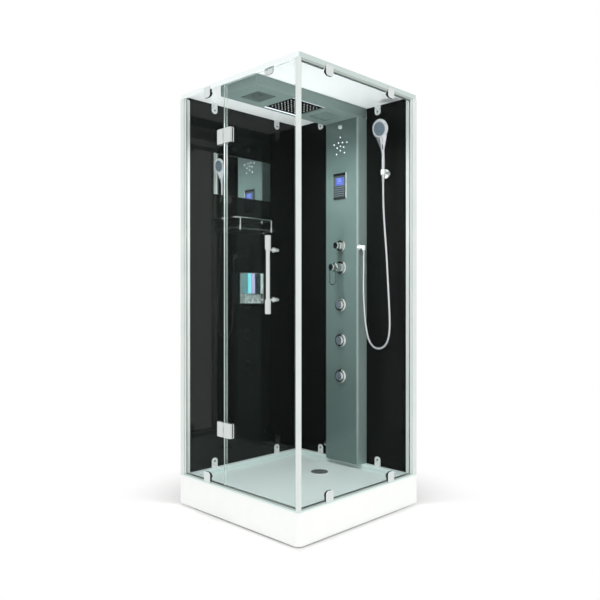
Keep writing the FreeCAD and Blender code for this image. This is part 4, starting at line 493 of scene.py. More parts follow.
def clear_silicone():
    # Extruded silicone seal: clear, with a faint milky cast that runs along it.
    material = new_finish("clear_silicone", "#D3E0DC", 0.25, Alpha=0.09)
    grain(material, 0.02, stretch=(1, 1, 8), colours=("#BDCFCA", "#D8E4E1"), roughness=(0.2, 0.35))
    return material


def wound_steel_hose():
    # A brass strip wound in a close spiral and chromed: fine bright rings all the way along.
    material = new_finish("wound_steel_hose", "#E4E7E9", 0.2, 0.8)
    # 1.55 m of hose with a turn every 4 mm.
    turns = 388
    angle = add(
        material, "ShaderNodeMath", {"operation": "MULTIPLY"},
        {0: along(material, "UV", "X"), 1: turns * math.tau},
    )
    wave = add(material, "ShaderNodeMath", {"operation": "SINE"}, {0: angle.outputs[0]})
    raise_surface(material, wave.outputs[0], 0.0004)
    grain(material, 0.03, roughness=(0.14, 0.28))
    return material


def silvered_plastic():
    # Chrome plate on moulded ABS: softer than on brass.
    material = new_finish("silvered_plastic", "#DDE1E4", 0.16, 0.9)
    grain(material, 0.02, colours=("#D6DBDF", "#E4E7EA"), roughness=(0.12, 0.22))
    return material


def lavender_silicone():
    # The hand shower's spray plate: silicone, blue grey with a lavender cast, matt between the nozzles.
    material = new_finish("lavender_silicone", "#6A7E8B", 0.4)
    grain(material, 0.006, colours=("#5D707D", "#7B8F9C"), roughness=(0.34, 0.5), relief=0.00005)
    return material


def nozzle_rubber():
    # Soft dark rubber nozzles, dull, with a little pale scale.
    material = new_finish("nozzle_rubber", "#3B464F", 0.5)
    grain(material, 0.004, colours=("#2E383F", "#566069"), roughness=(0.42, 0.6))
    return material


def jet_rubber():
    # The jets' faces: grey rubber with a matt, slightly mottled skin.
    material = new_finish("jet_rubber", "#56626A", 0.46)
    grain(material, 0.004, colours=("#414C54", "#6E7A82"), roughness=(0.38, 0.55), relief=0.00008)
    return material


def silver_mirror():
    # Silvered float glass: a clean reflection with a faint green grey.
    material = new_finish("silver_mirror", "#E3E9E8", 0.015, 1.0)
    grain(material, 0.2, colours=("#DFE6E5", "#E7EDEC"), roughness=(0.01, 0.03))
    return material


def frosted_housing():
    # The dispenser's housing: clear styrene with a grey green cast, through which the tanks show.
    material = new_finish("frosted_housing", "#A9B9B6", 0.14, Alpha=0.16)
    grain(material, 0.02, colours=("#9BACA8", "#AEBDBA"), roughness=(0.18, 0.28))
    return material


def pale_styrene():
    # Clear styrene seen through its thickness: pale grey green, in the base and at the rims.
    material = new_finish("pale_styrene", "#93A7A2", 0.2)
    grain(material, 0.018, stretch=(1, 0.5, 1.6), colours=("#5E726E", "#B4C6C1"), roughness=(0.14, 0.26))
    return material


def tinted_tank(name, colour, deep):
    # A clear tank seen through to the soap in it: strong colour, glossy face, deeper towards the middle.
    material = new_finish("soap_tank_" + name, colour, 0.08, Coat_Weight=0.5)
    grain(material, 0.045, stretch=(1, 0.5, 2), colours=(deep, colour), roughness=(0.05, 0.12))
    return material


FINISHES = {}


def finish(make, *details):
    """A finish by its maker, made once."""
    key = (make.__name__, *details)
    if key not in FINISHES:
        FINISHES[key] = make(*details)
    return FINISHES[key]


# ---- making and placing pieces -------------------------------------------------------------------
def deselect():
    if bpy.context.object and bpy.context.object.mode != "OBJECT":
        bpy.ops.object.mode_set(mode="OBJECT")
    bpy.ops.object.select_all(action="DESELECT")


def take_up(piece):
    """Makes a piece the only one selected, and the active one."""
    deselect()
    bpy.context.view_layer.objects.active = piece
    piece.select_set(True)


def name_piece(name):
    piece = bpy.context.object
    piece.name = name
    piece.data.name = name
    return piece


def set_down(piece):
    """Puts a piece's place, turn and size into its mesh."""
    take_up(piece)
    bpy.ops.object.transform_apply(location=True, rotation=True, scale=True)


def apply_modifier(piece, kind, **settings):
    take_up(piece)
    modifier = piece.modifiers.new(kind.lower(), kind)
    for name, value in settings.items():
        setattr(modifier, name, value)
    bpy.ops.object.modifier_apply(modifier=modifier.name)


def hand_over(piece, body, material, replaces=(), angle=SMOOTH_ANGLE):
    """Finishes a piece: smooth up to an angle, with its material, its body and the nodes it stands for."""
    take_up(piece)
    bpy.ops.object.shade_smooth_by_angle(angle=angle)
    # Wide flats keep their own normal, so that only the eased edges turn the light.
    apply_modifier(piece, "WEIGHTED_NORMAL", keep_sharp=True, weight=80)
    piece.data.materials.clear()
    piece.data.materials.append(material)
    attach(piece, body)
    if replaces:
        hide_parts(*replaces)


def unite(name, pieces):
    """Joins pieces of one finish into one object."""
    deselect()
    for piece in pieces:
        piece.select_set(True)
    bpy.context.view_layer.objects.active = pieces[0]
    if len(pieces) > 1:
        bpy.ops.object.join()
    return name_piece(name)


def copied(piece, offset):
    """A copy with its own mesh, moved by an offset."""
    copy = bpy.data.objects.new(piece.name + "_copy", piece.data.copy())
    bpy.context.scene.collection.objects.link(copy)
    copy.location = offset
    set_down(copy)
    return copy


def turned(name, foot, facing, rings, corners=48):
    """A round piece, made as on a lathe: a disc is extruded and resized ring by ring along one direction."""
    deselect()
    radius, height = rings[0]
    bpy.ops.mesh.primitive_circle_add(vertices=corners, radius=radius, fill_type="NGON", location=(0, 0, 0))
    piece = name_piece(name)
    bpy.ops.object.mode_set(mode="EDIT")
    bpy.ops.mesh.select_all(action="SELECT")
    bpy.ops.transform.translate(value=(0, 0, height))
    for next_radius, next_height in rings[1:]:
        rise = next_height - height
        bpy.ops.mesh.extrude_region_move(TRANSFORM_OT_translate={"value": (0, 0, rise)})
        share = next_radius / radius
        bpy.ops.transform.resize(value=(share, share, 1), center_override=(0, 0, 0))
        radius, height = next_radius, next_height
    bpy.ops.mesh.select_all(action="SELECT")
    bpy.ops.mesh.normals_make_consistent(inside=False)
    bpy.ops.object.mode_set(mode="OBJECT")
    piece.rotation_euler = Vector(facing).to_track_quat("Z", "Y").to_euler()
    piece.location = foot
    set_down(piece)
    return piece


def lofted(name, foot, way, sections, corners=48):
    """A piece along a line that leans forward, with oval sections: half width, half depth, how far along."""
    deselect()
    bpy.ops.mesh.primitive_circle_add(vertices=corners, radius=1, fill_type="NGON", location=(0, 0, 0))
    piece = name_piece(name)
    bpy.ops.object.mode_set(mode="EDIT")
    bpy.ops.mesh.select_all(action="SELECT")
    width, depth, height = 1.0, 1.0, 0.0
    for number, (next_width, next_depth, share) in enumerate(sections):
        rise = way.length * share - height
        if number:
            bpy.ops.mesh.extrude_region_move(TRANSFORM_OT_translate={"value": (0, 0, rise)})
        else:
            bpy.ops.transform.translate(value=(0, 0, rise))
        bpy.ops.transform.resize(value=(next_width / width, next_depth / depth, 1), center_override=(0, 0, 0))
        width, depth, height = next_width, next_depth, height + rise
    bpy.ops.mesh.select_all(action="SELECT")
    bpy.ops.mesh.normals_make_consistent(inside=False)
    bpy.ops.object.mode_set(mode="OBJECT")
    piece.rotation_euler = (math.atan2(-way.y, way.z), 0, 0)
    piece.location = foot
    set_down(piece)
    return piece


def pressed_block(name, low, high, round_off=0.0, segments=3):
    """A block between two corners, with its edges rounded."""
    deselect()
    bpy.ops.mesh.primitive_cube_add(size=1, location=[(a + b) / 2 for a, b in zip(low, high)])
    piece = name_piece(name)
    piece.scale = [b - a for a, b in zip(low, high)]
    set_down(piece)
    if round_off:
        apply_modifier(piece, "BEVEL", width=round_off, segments=segments, limit_method="NONE")
    return piece


def eased(node, width):
    """A copy of a solid with its edges eased, as a mould, a press or a polisher leaves them."""
    piece = bpy.data.objects.new(node + "_eased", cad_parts[node].data.copy())
    bpy.context.scene.collection.objects.link(piece)
    piece.data.name = piece.name
    take_up(piece)
    bpy.ops.object.mode_set(mode="EDIT")
    bpy.ops.mesh.select_all(action="SELECT")
    bpy.ops.mesh.customdata_custom_splitnormals_clear()
    bpy.ops.mesh.remove_doubles(threshold=0.00001)
    if width:
        bpy.ops.mesh.dissolve_limited(angle_limit=math.radians(0.5))
    bpy.ops.object.mode_set(mode="OBJECT")
    if width:
        apply_modifier(
            piece, "BEVEL", width=width, segments=2, limit_method="ANGLE",
            angle_limit=math.radians(30), use_clamp_overlap=True,
        )
    return piece


def ease_all(table):
    """Replaces each named solid by its eased copy: node, body, slot, finish and edge width."""
    for node, body, slot, material, width in table:
        hand_over(eased(node, width), body, material, (node,))


def keep_all(table):
    """Gives each named solid, whose shape is right as it is, its finish."""
    for node, material in table:
        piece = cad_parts[node]
        piece.data.materials.clear()
        piece.data.materials.append(material)


# ---- sizes and colours that a user would change ---------------------------------------------------
class CabinSizes(bpy.types.PropertyGroup):
    edge_width: FloatProperty(
        name="Edge width", description="Width of the eased edges on mouldings and bars", default=0.0008,
        min=0.0001, max=0.003, unit="LENGTH",
    )
    hose_diameter: FloatProperty(
        name="Hose diameter", description="Outside diameter of the shower hose", default=0.012,
        min=0.008, max=0.02, unit="LENGTH",
    )
    floor_radius: FloatProperty(
        name="Floor radius", description="Radius of the pale floor under the cabin", default=9.0,
        min=2.0, max=20.0, unit="LENGTH",
    )
    spray_rings: IntProperty(
        name="Spray rings", description="Rings of nozzles on the hand shower's spray plate", default=4,
        min=1, max=6,
    )


class CabinColours(bpy.types.PropertyGroup):
    daylight: FloatVectorProperty(
        name="Daylight", description="Colour of the light from all round", default=linear("#FFFFFF")[:3],
        subtype="COLOR", size=3, min=0, max=1,
    )
    floor: FloatVectorProperty(
        name="Floor", description="Colour of the floor", default=linear("#F4F4F3")[:3],
        subtype="COLOR", size=3, min=0, max=1,
    )


def sizes():
    return bpy.context.scene.cabin_sizes


def colours():
    return bpy.context.scene.cabin_colours


# ---- the stage -----------------------------------------------------------------------------------
def soft_lamp(name, place, aim, side, power, spread=180):
    """A large square lamp that lights without showing in chrome or glass. Its spread is in degrees."""
    deselect()
    bpy.ops.object.light_add(type="AREA", location=place)
    lamp = bpy.context.object
    lamp.name = name
    lamp.data.shape = "SQUARE"
    lamp.data.size = side
    lamp.data.energy = power
    lamp.data.spread = math.radians(spread)
    lamp.rotation_euler = (Vector(aim) - Vector(place)).to_track_quat("-Z", "Y").to_euler()
    lamp.visible_glossy = False
    lamp.visible_camera = False
    lamp.visible_transmission = False


class CABIN_OT_stage(bpy.types.Operator):
    """Adds the camera, the pale floor, the daylight and the lamps"""
    bl_idname = "cabin.stage"
    bl_label = "Stage"

    def execute(self, context):
        deselect()
        bpy.ops.object.camera_add(location=CAMERA_PLACE)
        camera = context.object
        camera.name = "photograph_camera"
        camera.rotation_euler = CAMERA_TURN
        camera.data.sensor_width = 36
        camera.data.lens = CAMERA_LENS
        camera.data.shift_x, camera.data.shift_y = CAMERA_SHIFT
        context.scene.camera = camera
        self.add_daylight(context.scene)
        self.add_floor()
        soft_lamp("key_lamp", (0.6, -3.6, 2.6), (0, 0, 0.9), 2.4, 20)
        soft_lamp("side_lamp", (3.8, 0.2, 2.2), (0, 0, 0.9), 2.4, 25)
        soft_lamp("rising_lamp", (-0.08, -0.14, 0.22), (-0.02, -0.14, 2.2), 0.5, 5.6, 75)
        soft_lamp("falling_lamp", (0.1, -0.2, 2.05), (0.1, -0.1, 0.2), 0.3, 12, 165)
        context.scene.view_settings.view_transform = "Standard"
        return {"FINISHED"}

    def add_daylight(self, scene):
        world = bpy.data.worlds.new("studio")
        scene.world = world
        world.use_nodes = True
        world.node_tree.nodes.clear()
        path = add(world, "ShaderNodeLightPath")
        seen = add(
            world, "ShaderNodeMath", {"operation": "MAXIMUM"},
            {0: path.outputs["Is Camera Ray"], 1: path.outputs["Is Glossy Ray"]},
        )
        seen = add(
            world, "ShaderNodeMath", {"operation": "MAXIMUM"},
            {0: seen.outputs[0], 1: path.outputs["Is Transmission Ray"]},
        )
        strength = add(
            world, "ShaderNodeMapRange", inputs={"Value": seen.outputs[0], "To Min": 0.92, "To Max": 1.0},
        )
        sky = add(
            world, "ShaderNodeBackground",
            inputs={"Color": (*colours().daylight, 1.0), "Strength": strength.outputs[0]},
        )
        add(world, "ShaderNodeOutputWorld", inputs={"Surface": sky.outputs[0]})

    def add_floor(self):
        deselect()
        bpy.ops.mesh.primitive_circle_add(
            vertices=96, radius=sizes().floor_radius, fill_type="NGON", location=(0, 0, 0),
        )
        floor = name_piece("floor")
        material = bpy.data.materials.new("pale_floor")
        material.use_nodes = True
        nodes = material.node_tree.nodes
        nodes.clear()
        spot = add(material, "ShaderNodeTexCoord")
        reach = add(
            material, "ShaderNodeVectorMath", {"operation": "LENGTH"}, {0: spot.outputs["Object"]},
        )
        away = add(
            material, "ShaderNodeMapRange", {"interpolation_type": "SMOOTHSTEP"},
            {"Value": reach.outputs["Value"], "From Min": 0.5, "From Max": 1.1},
        )
        path = add(material, "ShaderNodeLightPath")
        seen = add(
            material, "ShaderNodeMath", {"operation": "MAXIMUM"},
            {0: path.outputs["Is Camera Ray"], 1: path.outputs["Is Glossy Ray"]},
        )
        share = add(
            material, "ShaderNodeMath", {"operation": "MULTIPLY"}, {0: away.outputs[0], 1: seen.outputs[0]},
        )
        matt = add(material, "ShaderNodeBsdfDiffuse", inputs={"Color": (*colours().floor, 1.0)})
        white = add(material, "ShaderNodeEmission", inputs={"Color": (1, 1, 1, 1), "Strength": 1.0})
        mix = add(
            material, "ShaderNodeMixShader",
            inputs={0: share.outputs[0], 1: matt.outputs[0], 2: white.outputs[0]},
        )
        add(material, "ShaderNodeOutputMaterial", inputs={"Surface": mix.outputs[0]})
        floor.data.materials.append(material)


# ---- the hose ------------------------------------------------------------------------------------
class CABIN_OT_shower_hose(bpy.types.Operator):
    """Adds the shower hose, with a nut at each end"""
    bl_idname = "cabin.shower_hose"
    bl_label = "Shower hose"

    def execute(self, context):
        curve = bpy.data.curves.new("shower_hose", "CURVE")
        curve.dimensions = "3D"
        line = curve.splines.new("NURBS")
        line.points.add(len(HOSE_ROUTE) - 1)
        for point, place in zip(line.points, HOSE_ROUTE):
            point.co = (*place, 1.0)
        line.order_u = 3
        line.use_endpoint_u = True
        line.resolution_u = 10
        hose = bpy.data.objects.new("hose_tube", curve)
        context.scene.collection.objects.link(hose)
        bare = bpy.data.meshes.new_from_object(hose)
        bpy.data.meshes.remove(bare)
        curve.bevel_depth = sizes().hose_diameter / 2
        curve.bevel_resolution = 4
        curve.use_fill_caps = True
        take_up(hose)
        bpy.ops.object.convert(target="MESH")
        bpy.ops.object.mode_set(mode="EDIT")
        bpy.ops.mesh.select_all(action="SELECT")
        bpy.ops.mesh.remove_doubles(threshold=0.00001)
        bpy.ops.object.mode_set(mode="OBJECT")
        bpy.ops.object.shade_smooth()
        hose.data.materials.clear()
        hose.data.materials.append(finish(wound_steel_hose))
        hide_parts("shower_hose")
        nut_rings = [
            (0.0062, 0.0), (0.0068, 0.0), (0.0075, 0.004), (0.0084, 0.020), (0.0086, 0.022), (0.0086, 0.030),
            (0.0080, 0.031), (0.0060, 0.031),
        ]
        foot = Vector(HOSE_ROUTE[0]) - Vector((0, 0, 0.024))
        low_nut = turned("hose_nut_low", foot, UPWARD, nut_rings, 32)
        hand_over(low_nut, "cabin", finish(polished_chrome))
        foot = HANDSET_FOOT - Vector((0, 0, 0.030))
        high_nut = turned("hose_nut_high", foot, UPWARD, nut_rings, 32)
        hand_over(high_nut, "handset", finish(polished_chrome))
        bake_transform(hose)
        return {"FINISHED"}


# ---- the hand shower -----------------------------------------------------------------------------
def head_place(across, up, out):
    """A point on the hand shower's head: across and up its face, and out of it."""
    axis = Vector((0, -math.cos(HEAD_TILT), -math.sin(HEAD_TILT)))
    rise = Vector((0, -math.sin(HEAD_TILT), math.cos(HEAD_TILT)))
    return HEAD_CENTRE + Vector((across, 0, 0)) + rise * up + axis * out


class CABIN_OT_hand_shower(bpy.types.Operator):
    """Adds the hand shower: its shell, its spray plate with nozzles, and its slide"""
    bl_idname = "cabin.hand_shower"
    bl_label = "Hand shower"

    def execute(self, context):
        back = Vector((0, math.cos(HEAD_TILT), math.sin(HEAD_TILT)))
        handle = turned(
            "hand_shower_shell", HANDSET_FOOT, UPWARD,
            [
                (0.0078, 0.0), (0.0086, 0.0015), (0.0095, 0.006), (0.0095, 0.041), (0.0101, 0.0425),
                (0.0105, 0.046), (0.0107, 0.080), (0.0103, 0.115), (0.0098, 0.140), (0.0092, 0.150),
            ],
        )
        foot = HANDSET_FOOT + Vector((0, 0, 0.130))
        way = head_place(0, 0, -0.0105) - foot
        blade = lofted(
            "blade", foot, way,
            [
                (0.0098, 0.0096, 0.0), (0.0108, 0.0096, 0.12), (0.0180, 0.0092, 0.30), (0.0275, 0.0088, 0.50),
                (0.0375, 0.0084, 0.70), (0.0450, 0.0080, 0.86), (0.0490, 0.0070, 1.0),
            ],
        )
        head = turned(
            "head", HEAD_CENTRE, back,
            [
                (0.0485, 0.0), (0.0512, 0.0015), (0.0528, 0.0045), (0.0530, 0.0095), (0.0505, 0.0130),
                (0.0430, 0.0175), (0.0320, 0.0220), (0.0200, 0.0252), (0.0080, 0.0264),
            ],
            64,
        )
        shell = unite("hand_shower_shell", [handle, blade, head])
        apply_modifier(shell, "REMESH", mode="VOXEL", voxel_size=0.0013)
        apply_modifier(shell, "SMOOTH", factor=0.5, iterations=7)
        hand_over(
            shell, "handset", finish(silvered_plastic), ("handset",), math.radians(60),
        )

        plate = turned(
            "hand_shower_plate", head_place(0, 0, -0.004), -back,
            [
                (0.0425, 0.0), (0.0425, 0.0046), (0.0418, 0.0053), (0.0290, 0.0064), (0.0140, 0.0069),
                (0.0020, 0.0070),
            ],
            64,
        )
        hand_over(plate, "handset", finish(lavender_silicone))
        nub = turned("nub", (0, 0, 0), -back, [(0.0022, -0.001), (0.0020, 0.0012), (0.0014, 0.0018)], 12)
        nubs = []
        for ring in range(1, sizes().spray_rings + 1):
            count = ring * 7
            radius = 0.0370 * ring / sizes().spray_rings
            out = 0.0030 - 0.0018 * (radius / 0.0425) ** 2
            for number in range(count):
                turn = math.tau * number / count
                nubs.append(copied(nub, head_place(radius * math.sin(turn), radius * math.cos(turn), out)))
        bpy.data.objects.remove(nub)
        hand_over(unite("hand_shower_nozzles", nubs), "handset", finish(nozzle_rubber))
        slide = lofted(
            "hand_shower_slide", Vector((0.2925, 0.3595, 1.921)), Vector((0, -0.0058, 0.029)),
            [
                (0.0012, 0.0020, 0.0), (0.0024, 0.0040, 0.05), (0.0024, 0.0040, 0.95),
                (0.0012, 0.0020, 1.0),
            ], 20,
        )
        hand_over(slide, "handset", finish(black_plastic))
        ring = turned(
            "hand_shower_ring", head_place(0, 0, 0.0004), -back,
            [
                (0.0427, -0.003), (0.0468, -0.003), (0.0468, 0.0002), (0.0458, 0.0014), (0.0444, 0.0020),
                (0.0430, 0.0014),
            ],
            64,
        )
        hand_over(ring, "handset", finish(silvered_plastic))
        return {"FINISHED"}


# ---- tray, walls and glass -----------------------------------------------------------------------
class CABIN_OT_tray(bpy.types.Operator):
    """Finishes the tray and its skirt, and adds the waste cover"""
    bl_idname = "cabin.tray"
    bl_label = "Tray"

    def execute(self, context):
        ease_all([
            ("tray", "cabin", "white_acrylic", finish(non_slip_acrylic), 0),
            ("tray_skirt", "cabin", "white_acrylic", finish(cast_acrylic), 0),
        ])
        cover = turned(
            "waste_cover", (0, 0.165, 0.14205), UPWARD,
            [
                (0.0070, -0.026), (0.0080, -0.025), (0.0080, 0.0), (0.0465, 0.0), (0.0475, 0.0008),
                (0.0475, 0.0016), (0.0464, 0.0024), (0.0430, 0.0029), (0.0415, 0.0029), (0.0410, 0.0016),
                (0.0385, 0.0016), (0.0380, 0.0032), (0.0360, 0.0036), (0.0260, 0.0043), (0.0140, 0.0048),
                (0.0030, 0.0050),
            ],
            64,
        )
        hand_over(cover, "drain_cover", finish(satin_nickel), ("drain_cover",))
        return {"FINISHED"}


class CABIN_OT_profiles(bpy.types.Operator):
    """Finishes the post, the profiles, the rails and the roof"""
    bl_idname = "cabin.profiles"
    bl_label = "Profiles and roof"

    def execute(self, context):
        edge = sizes().edge_width
        bar = finish(satin_anodised_aluminium)
        ease_all([
            ("corner_post", "cabin", "satin_aluminium", bar, edge),
            ("left_end_profile", "cabin", "satin_aluminium", bar, edge),
            ("right_end_profile", "cabin", "satin_aluminium", bar, edge),
            ("rear_corner_profile", "cabin", "satin_aluminium", bar, edge),
            ("glass_rails", "cabin", "rail_aluminium", finish(rail_aluminium), edge * 0.6),
            ("roof_panel", "cabin", "pale_plastic", finish(moulded_white_plastic), edge * 2),
        ])
        return {"FINISHED"}


class CABIN_OT_glass(bpy.types.Operator):
    """Finishes the glass walls, the clear panes and the seals"""
    bl_idname = "cabin.glass"
    bl_label = "Glass"

    def execute(self, context):
        keep_all([
            ("left_wall_panel", finish(back_painted_glass, "left", 0.3)),
            ("back_wall_panels", finish(back_painted_glass, "back", 0.05)),
            ("front_fixed_glass", finish(float_glass, "Y", 0.8)),
            ("door_glass", finish(float_glass, "Y", 0.8)),
            ("side_glass", finish(float_glass, "X", 0.8)),
            ("shelf_glass", finish(float_glass, "Z", 0.06)),
            ("door_seals", finish(clear_silicone)),
        ])
        return {"FINISHED"}


class CABIN_OT_fittings(bpy.types.Operator):
    """Finishes the clamps, the clips, their fasteners, the hinges and the handle"""
    bl_idname = "cabin.fittings"
    bl_label = "Fittings"

    def execute(self, context):
        edge = sizes().edge_width
        chrome = finish(polished_chrome)
        ease_all([
            ("glass_clamps", "cabin", "chrome", finish(clamp_chrome), edge * 0.8),
            ("panel_clips", "cabin", "pale_metal", finish(nickel_washed_steel), edge * 0.8),
            ("fasteners", "cabin", "dark_chrome", finish(dark_chrome), edge * 0.8),
            ("hinge_fixed_plates", "cabin", "chrome", chrome, edge),
            ("door_hinge_plates", "door", "chrome", chrome, edge),
            ("door_handle", "door", "chrome", chrome, edge),
        ])
        keep_all([("hinge_pins", finish(brushed_steel))])
        bar_x, glass_back = 0.283, -0.437
        posts = [turned(
            "handle_posts", (bar_x, glass_back, height), (0, 1, 0),
            [
                (0.0052, -0.0425), (0.0052, -0.0200), (0.0066, -0.0130), (0.0108, -0.0104), (0.0120, -0.0094),
                (0.0120, -0.0062), (0.0050, -0.0061), (0.0050, 0.0001), (0.0062, 0.0002), (0.0062, 0.0012),
                (0.0032, 0.0016), (0.0030, 0.0104), (0.0052, 0.0112), (0.0078, 0.0126), (0.0078, 0.0172),
                (0.0068, 0.0192), (0.0020, 0.0198),
            ],
            40,
        ) for height in (1.102, 1.330)]
        hand_over(unite("handle_posts", posts), "door", chrome, ("handle_mounts",))
        return {"FINISHED"}


# ---- column and controls -------------------------------------------------------------------------
# The small lights' places across and above the column's light field, in millimetres.
SMALL_LIGHTS = [
    (0, 50), (-13, 20), (17, 18), (51, 14), (-47, 14), (2, -1), (26, -10), (-24, -8), (1, -27), (32, -43),
    (-28, -44),
]


class CABIN_OT_column(bpy.types.Operator):
    """Finishes the column, and adds its lamp and its small lights"""
    bl_idname = "cabin.column"
    bl_label = "Column"

    def execute(self, context):
        edge = sizes().edge_width
        ease_all([
            ("column_shell", "cabin", "grey_abs", finish(grey_green_abs), edge * 1.5),
            ("hose_elbow", "cabin", "chrome", finish(nickel_washed_steel), edge),
            ("handset_bracket", "cabin", "chrome", finish(nickel_washed_steel), edge),
        ])
        dome = turned(
            "column_lamp", (LIGHTS_X, COLUMN_FRONT, LAMP_HEIGHT), TO_THE_DOOR,
            [
                (0.0128, 0.0), (0.0128, 0.0035), (0.0120, 0.0062), (0.0092, 0.0086), (0.0050, 0.0100),
                (0.0010, 0.0104),
            ], 32,
        )
        hand_over(dome, "cabin", finish(pearl_glass))
        small = turned(
            "small_light", (LIGHTS_X, COLUMN_FRONT, LIGHTS_HEIGHT), TO_THE_DOOR,
            [(0.0036, 0.0), (0.0036, 0.0008), (0.0030, 0.0017), (0.0012, 0.0022)], 16,
        )
        lights = [copied(small, (x / 1000, 0, z / 1000)) for x, z in SMALL_LIGHTS]
        bpy.data.objects.remove(small)
        lens = unite("column_lenses", lights)
        hand_over(lens, "cabin", finish(lit_lens), ("column_leds",))
        dome_ring = turned(
            "column_bezels", (LIGHTS_X, COLUMN_FRONT, LAMP_HEIGHT), TO_THE_DOOR,
            [
                (0.0129, 0.0), (0.0180, 0.0), (0.0180, 0.0016), (0.0170, 0.0034), (0.0145, 0.0042),
                (0.0129, 0.0034),
            ], 32,
        )
        small_ring = turned(
            "small_bezel", (LIGHTS_X, COLUMN_FRONT, LIGHTS_HEIGHT), TO_THE_DOOR,
            [(0.0037, 0.0), (0.0044, 0.0), (0.0044, 0.0004), (0.0041, 0.0008), (0.0037, 0.0008)], 16,
        )
        rings = [dome_ring] + [copied(small_ring, (x / 1000, 0, z / 1000)) for x, z in SMALL_LIGHTS]
        bpy.data.objects.remove(small_ring)
        hand_over(unite("column_bezels", rings), "cabin", finish(polished_chrome))
        return {"FINISHED"}


class CABIN_OT_controls(bpy.types.Operator):
    """Adds the display, its keys, the diverter knob and the mixer"""
    bl_idname = "cabin.controls"
    bl_label = "Controls"

    def execute(self, context):
        edge = sizes().edge_width
        chrome = finish(polished_chrome)
        ease_all([
            ("control_panel", "cabin", "dark_abs", finish(smoked_abs), edge),
            ("valve_plates", "cabin", "chrome", chrome, edge),
            ("mixer_barrel", "mixer_barrel", "chrome", chrome, edge),
            ("mixer_loop", "mixer_loop", "chrome", finish(dark_chrome), 0),
        ])
        low, high = (-0.0480, DISPLAY_FACE, 1.7610), (0.0170, 0.3550, 1.8070)
        display = pressed_block("display", low, high, 0.0004, 2)
        hand_over(display, "cabin", finish(blue_display), ("display_screen",))
        self.add_marks()
        self.add_keys()
        self.add_knob(chrome)
        cap = turned(
            "mixer_cap", (COLUMN_X, KNOB_BACK - 0.079, MIXER_HEIGHT), TO_THE_DOOR,
            [
                (0.0145, -0.001), (0.0145, 0.0006), (0.0135, 0.0012), (0.0120, 0.0012), (0.0115, 0.0004),
                (0.0020, 0.0008),
            ],
        )
        hand_over(cap, "mixer_barrel", finish(gloss_black))
        return {"FINISHED"}

    def add_marks(self):
        """Plain bars on the display: a wide one over a row of short ones."""
        low, high = DISPLAY_FACE - 0.0004, DISPLAY_FACE + 0.0004
        left = PANEL_X - 0.019
        bars = [pressed_block("bar", (left, low, 1.7985), (PANEL_X + 0.012, high, 1.8025))]
        for number in range(5):
            x = left + number * 0.0080
            bars.append(pressed_block("bar", (x, low, 1.7725), (x + 0.0052, high, 1.7755)))
        for number in range(3):
            x = PANEL_X - 0.012 + number * 0.0095
            bars.append(pressed_block("bar", (x, low, 1.7815), (x + 0.0062, high, 1.7935)))
        hand_over(unite("display_marks", bars), "cabin", finish(pale_mark))

    def add_keys(self):
        """Rows of flat keys under the display, between two black bars, with a bright trim on the right."""
        left, right = PANEL_X - 0.047, PANEL_X + 0.047
        front, back = 0.3522, 0.3540
        bars = [
            pressed_block("panel_bars", (left, front, 1.8160), (right, back, 1.8320), 0.0006),
            pressed_block("bar", (left, front, 1.6820), (right, back, 1.6930), 0.0006),
            pressed_block("bar", (PANEL_X - 0.040, 0.3526, 1.6945), (PANEL_X + 0.040, back, 1.7560), 0.0006),
        ]
        hand_over(unite("panel_bars", bars), "cabin", finish(gloss_black))
        keys = []
        for row in range(5):
            z = 1.7495 - row * 0.0120
            for column in range(3):
                x = PANEL_X + (column - 1) * 0.0260
                keys.append(pressed_block(
                    "key", (x - 0.0123, 0.3514, z - 0.0038), (x + 0.0123, 0.3530, z + 0.0038), 0.0008, 2,
                ))
        hand_over(unite("keys", keys), "cabin", finish(key_rubber))
        trim = pressed_block(
            "panel_trim", (PANEL_X + 0.0468, 0.3528, 1.6825), (PANEL_X + 0.0490, 0.3592, 1.8315), 0.0005,
        )
        hand_over(trim, "cabin", finish(nickel_washed_steel))

    def add_knob(self, chrome):
        """The diverter's knob: bored behind, with a waist and twelve flutes round its grip."""
        knob = turned(
            "diverter_grip", (COLUMN_X, KNOB_BACK, DIVERTER_HEIGHT), TO_THE_DOOR,
            [
                (0.00605, 0.024), (0.00605, 0.0), (0.0192, 0.0), (0.0200, 0.0008), (0.0200, 0.0125),
                (0.0192, 0.0133), (0.0176, 0.0150), (0.0176, 0.0190), (0.0190, 0.0200), (0.0200, 0.0210),
                (0.0200, 0.0350), (0.0193, 0.0368), (0.0180, 0.0378), (0.0160, 0.0380), (0.0155, 0.0374),
                (0.0020, 0.0374),
            ],
        )
        take_up(knob)
        bpy.ops.object.mode_set(mode="EDIT")
        bpy.ops.mesh.select_mode(type="FACE")
        bpy.ops.mesh.select_all(action="DESELECT")
        bpy.ops.object.mode_set(mode="OBJECT")
        for face in knob.data.polygons:
            depth = KNOB_BACK - face.center.y
            turn = math.atan2(face.center.z - DIVERTER_HEIGHT, face.center.x - COLUMN_X) % math.tau
            face.select = 0.022 < depth < 0.034 and int(turn / math.tau * 48) % 4 == 0
        bpy.ops.object.mode_set(mode="EDIT")
        bpy.ops.mesh.inset(thickness=0.0004, use_individual=True)
        bpy.ops.transform.shrink_fatten(value=-0.0008)
        bpy.ops.object.mode_set(mode="OBJECT")
        hand_over(knob, "diverter_knob", chrome, ("diverter_knob",))
        cap = turned(
            "diverter_cap", (COLUMN_X, KNOB_BACK - 0.0374, DIVERTER_HEIGHT), TO_THE_DOOR,
            [(0.0158, -0.0008), (0.0158, 0.0004), (0.0150, 0.0009), (0.0060, 0.0011), (0.0020, 0.0011)], 40,
        )
        hand_over(cap, "diverter_knob", finish(gloss_black))


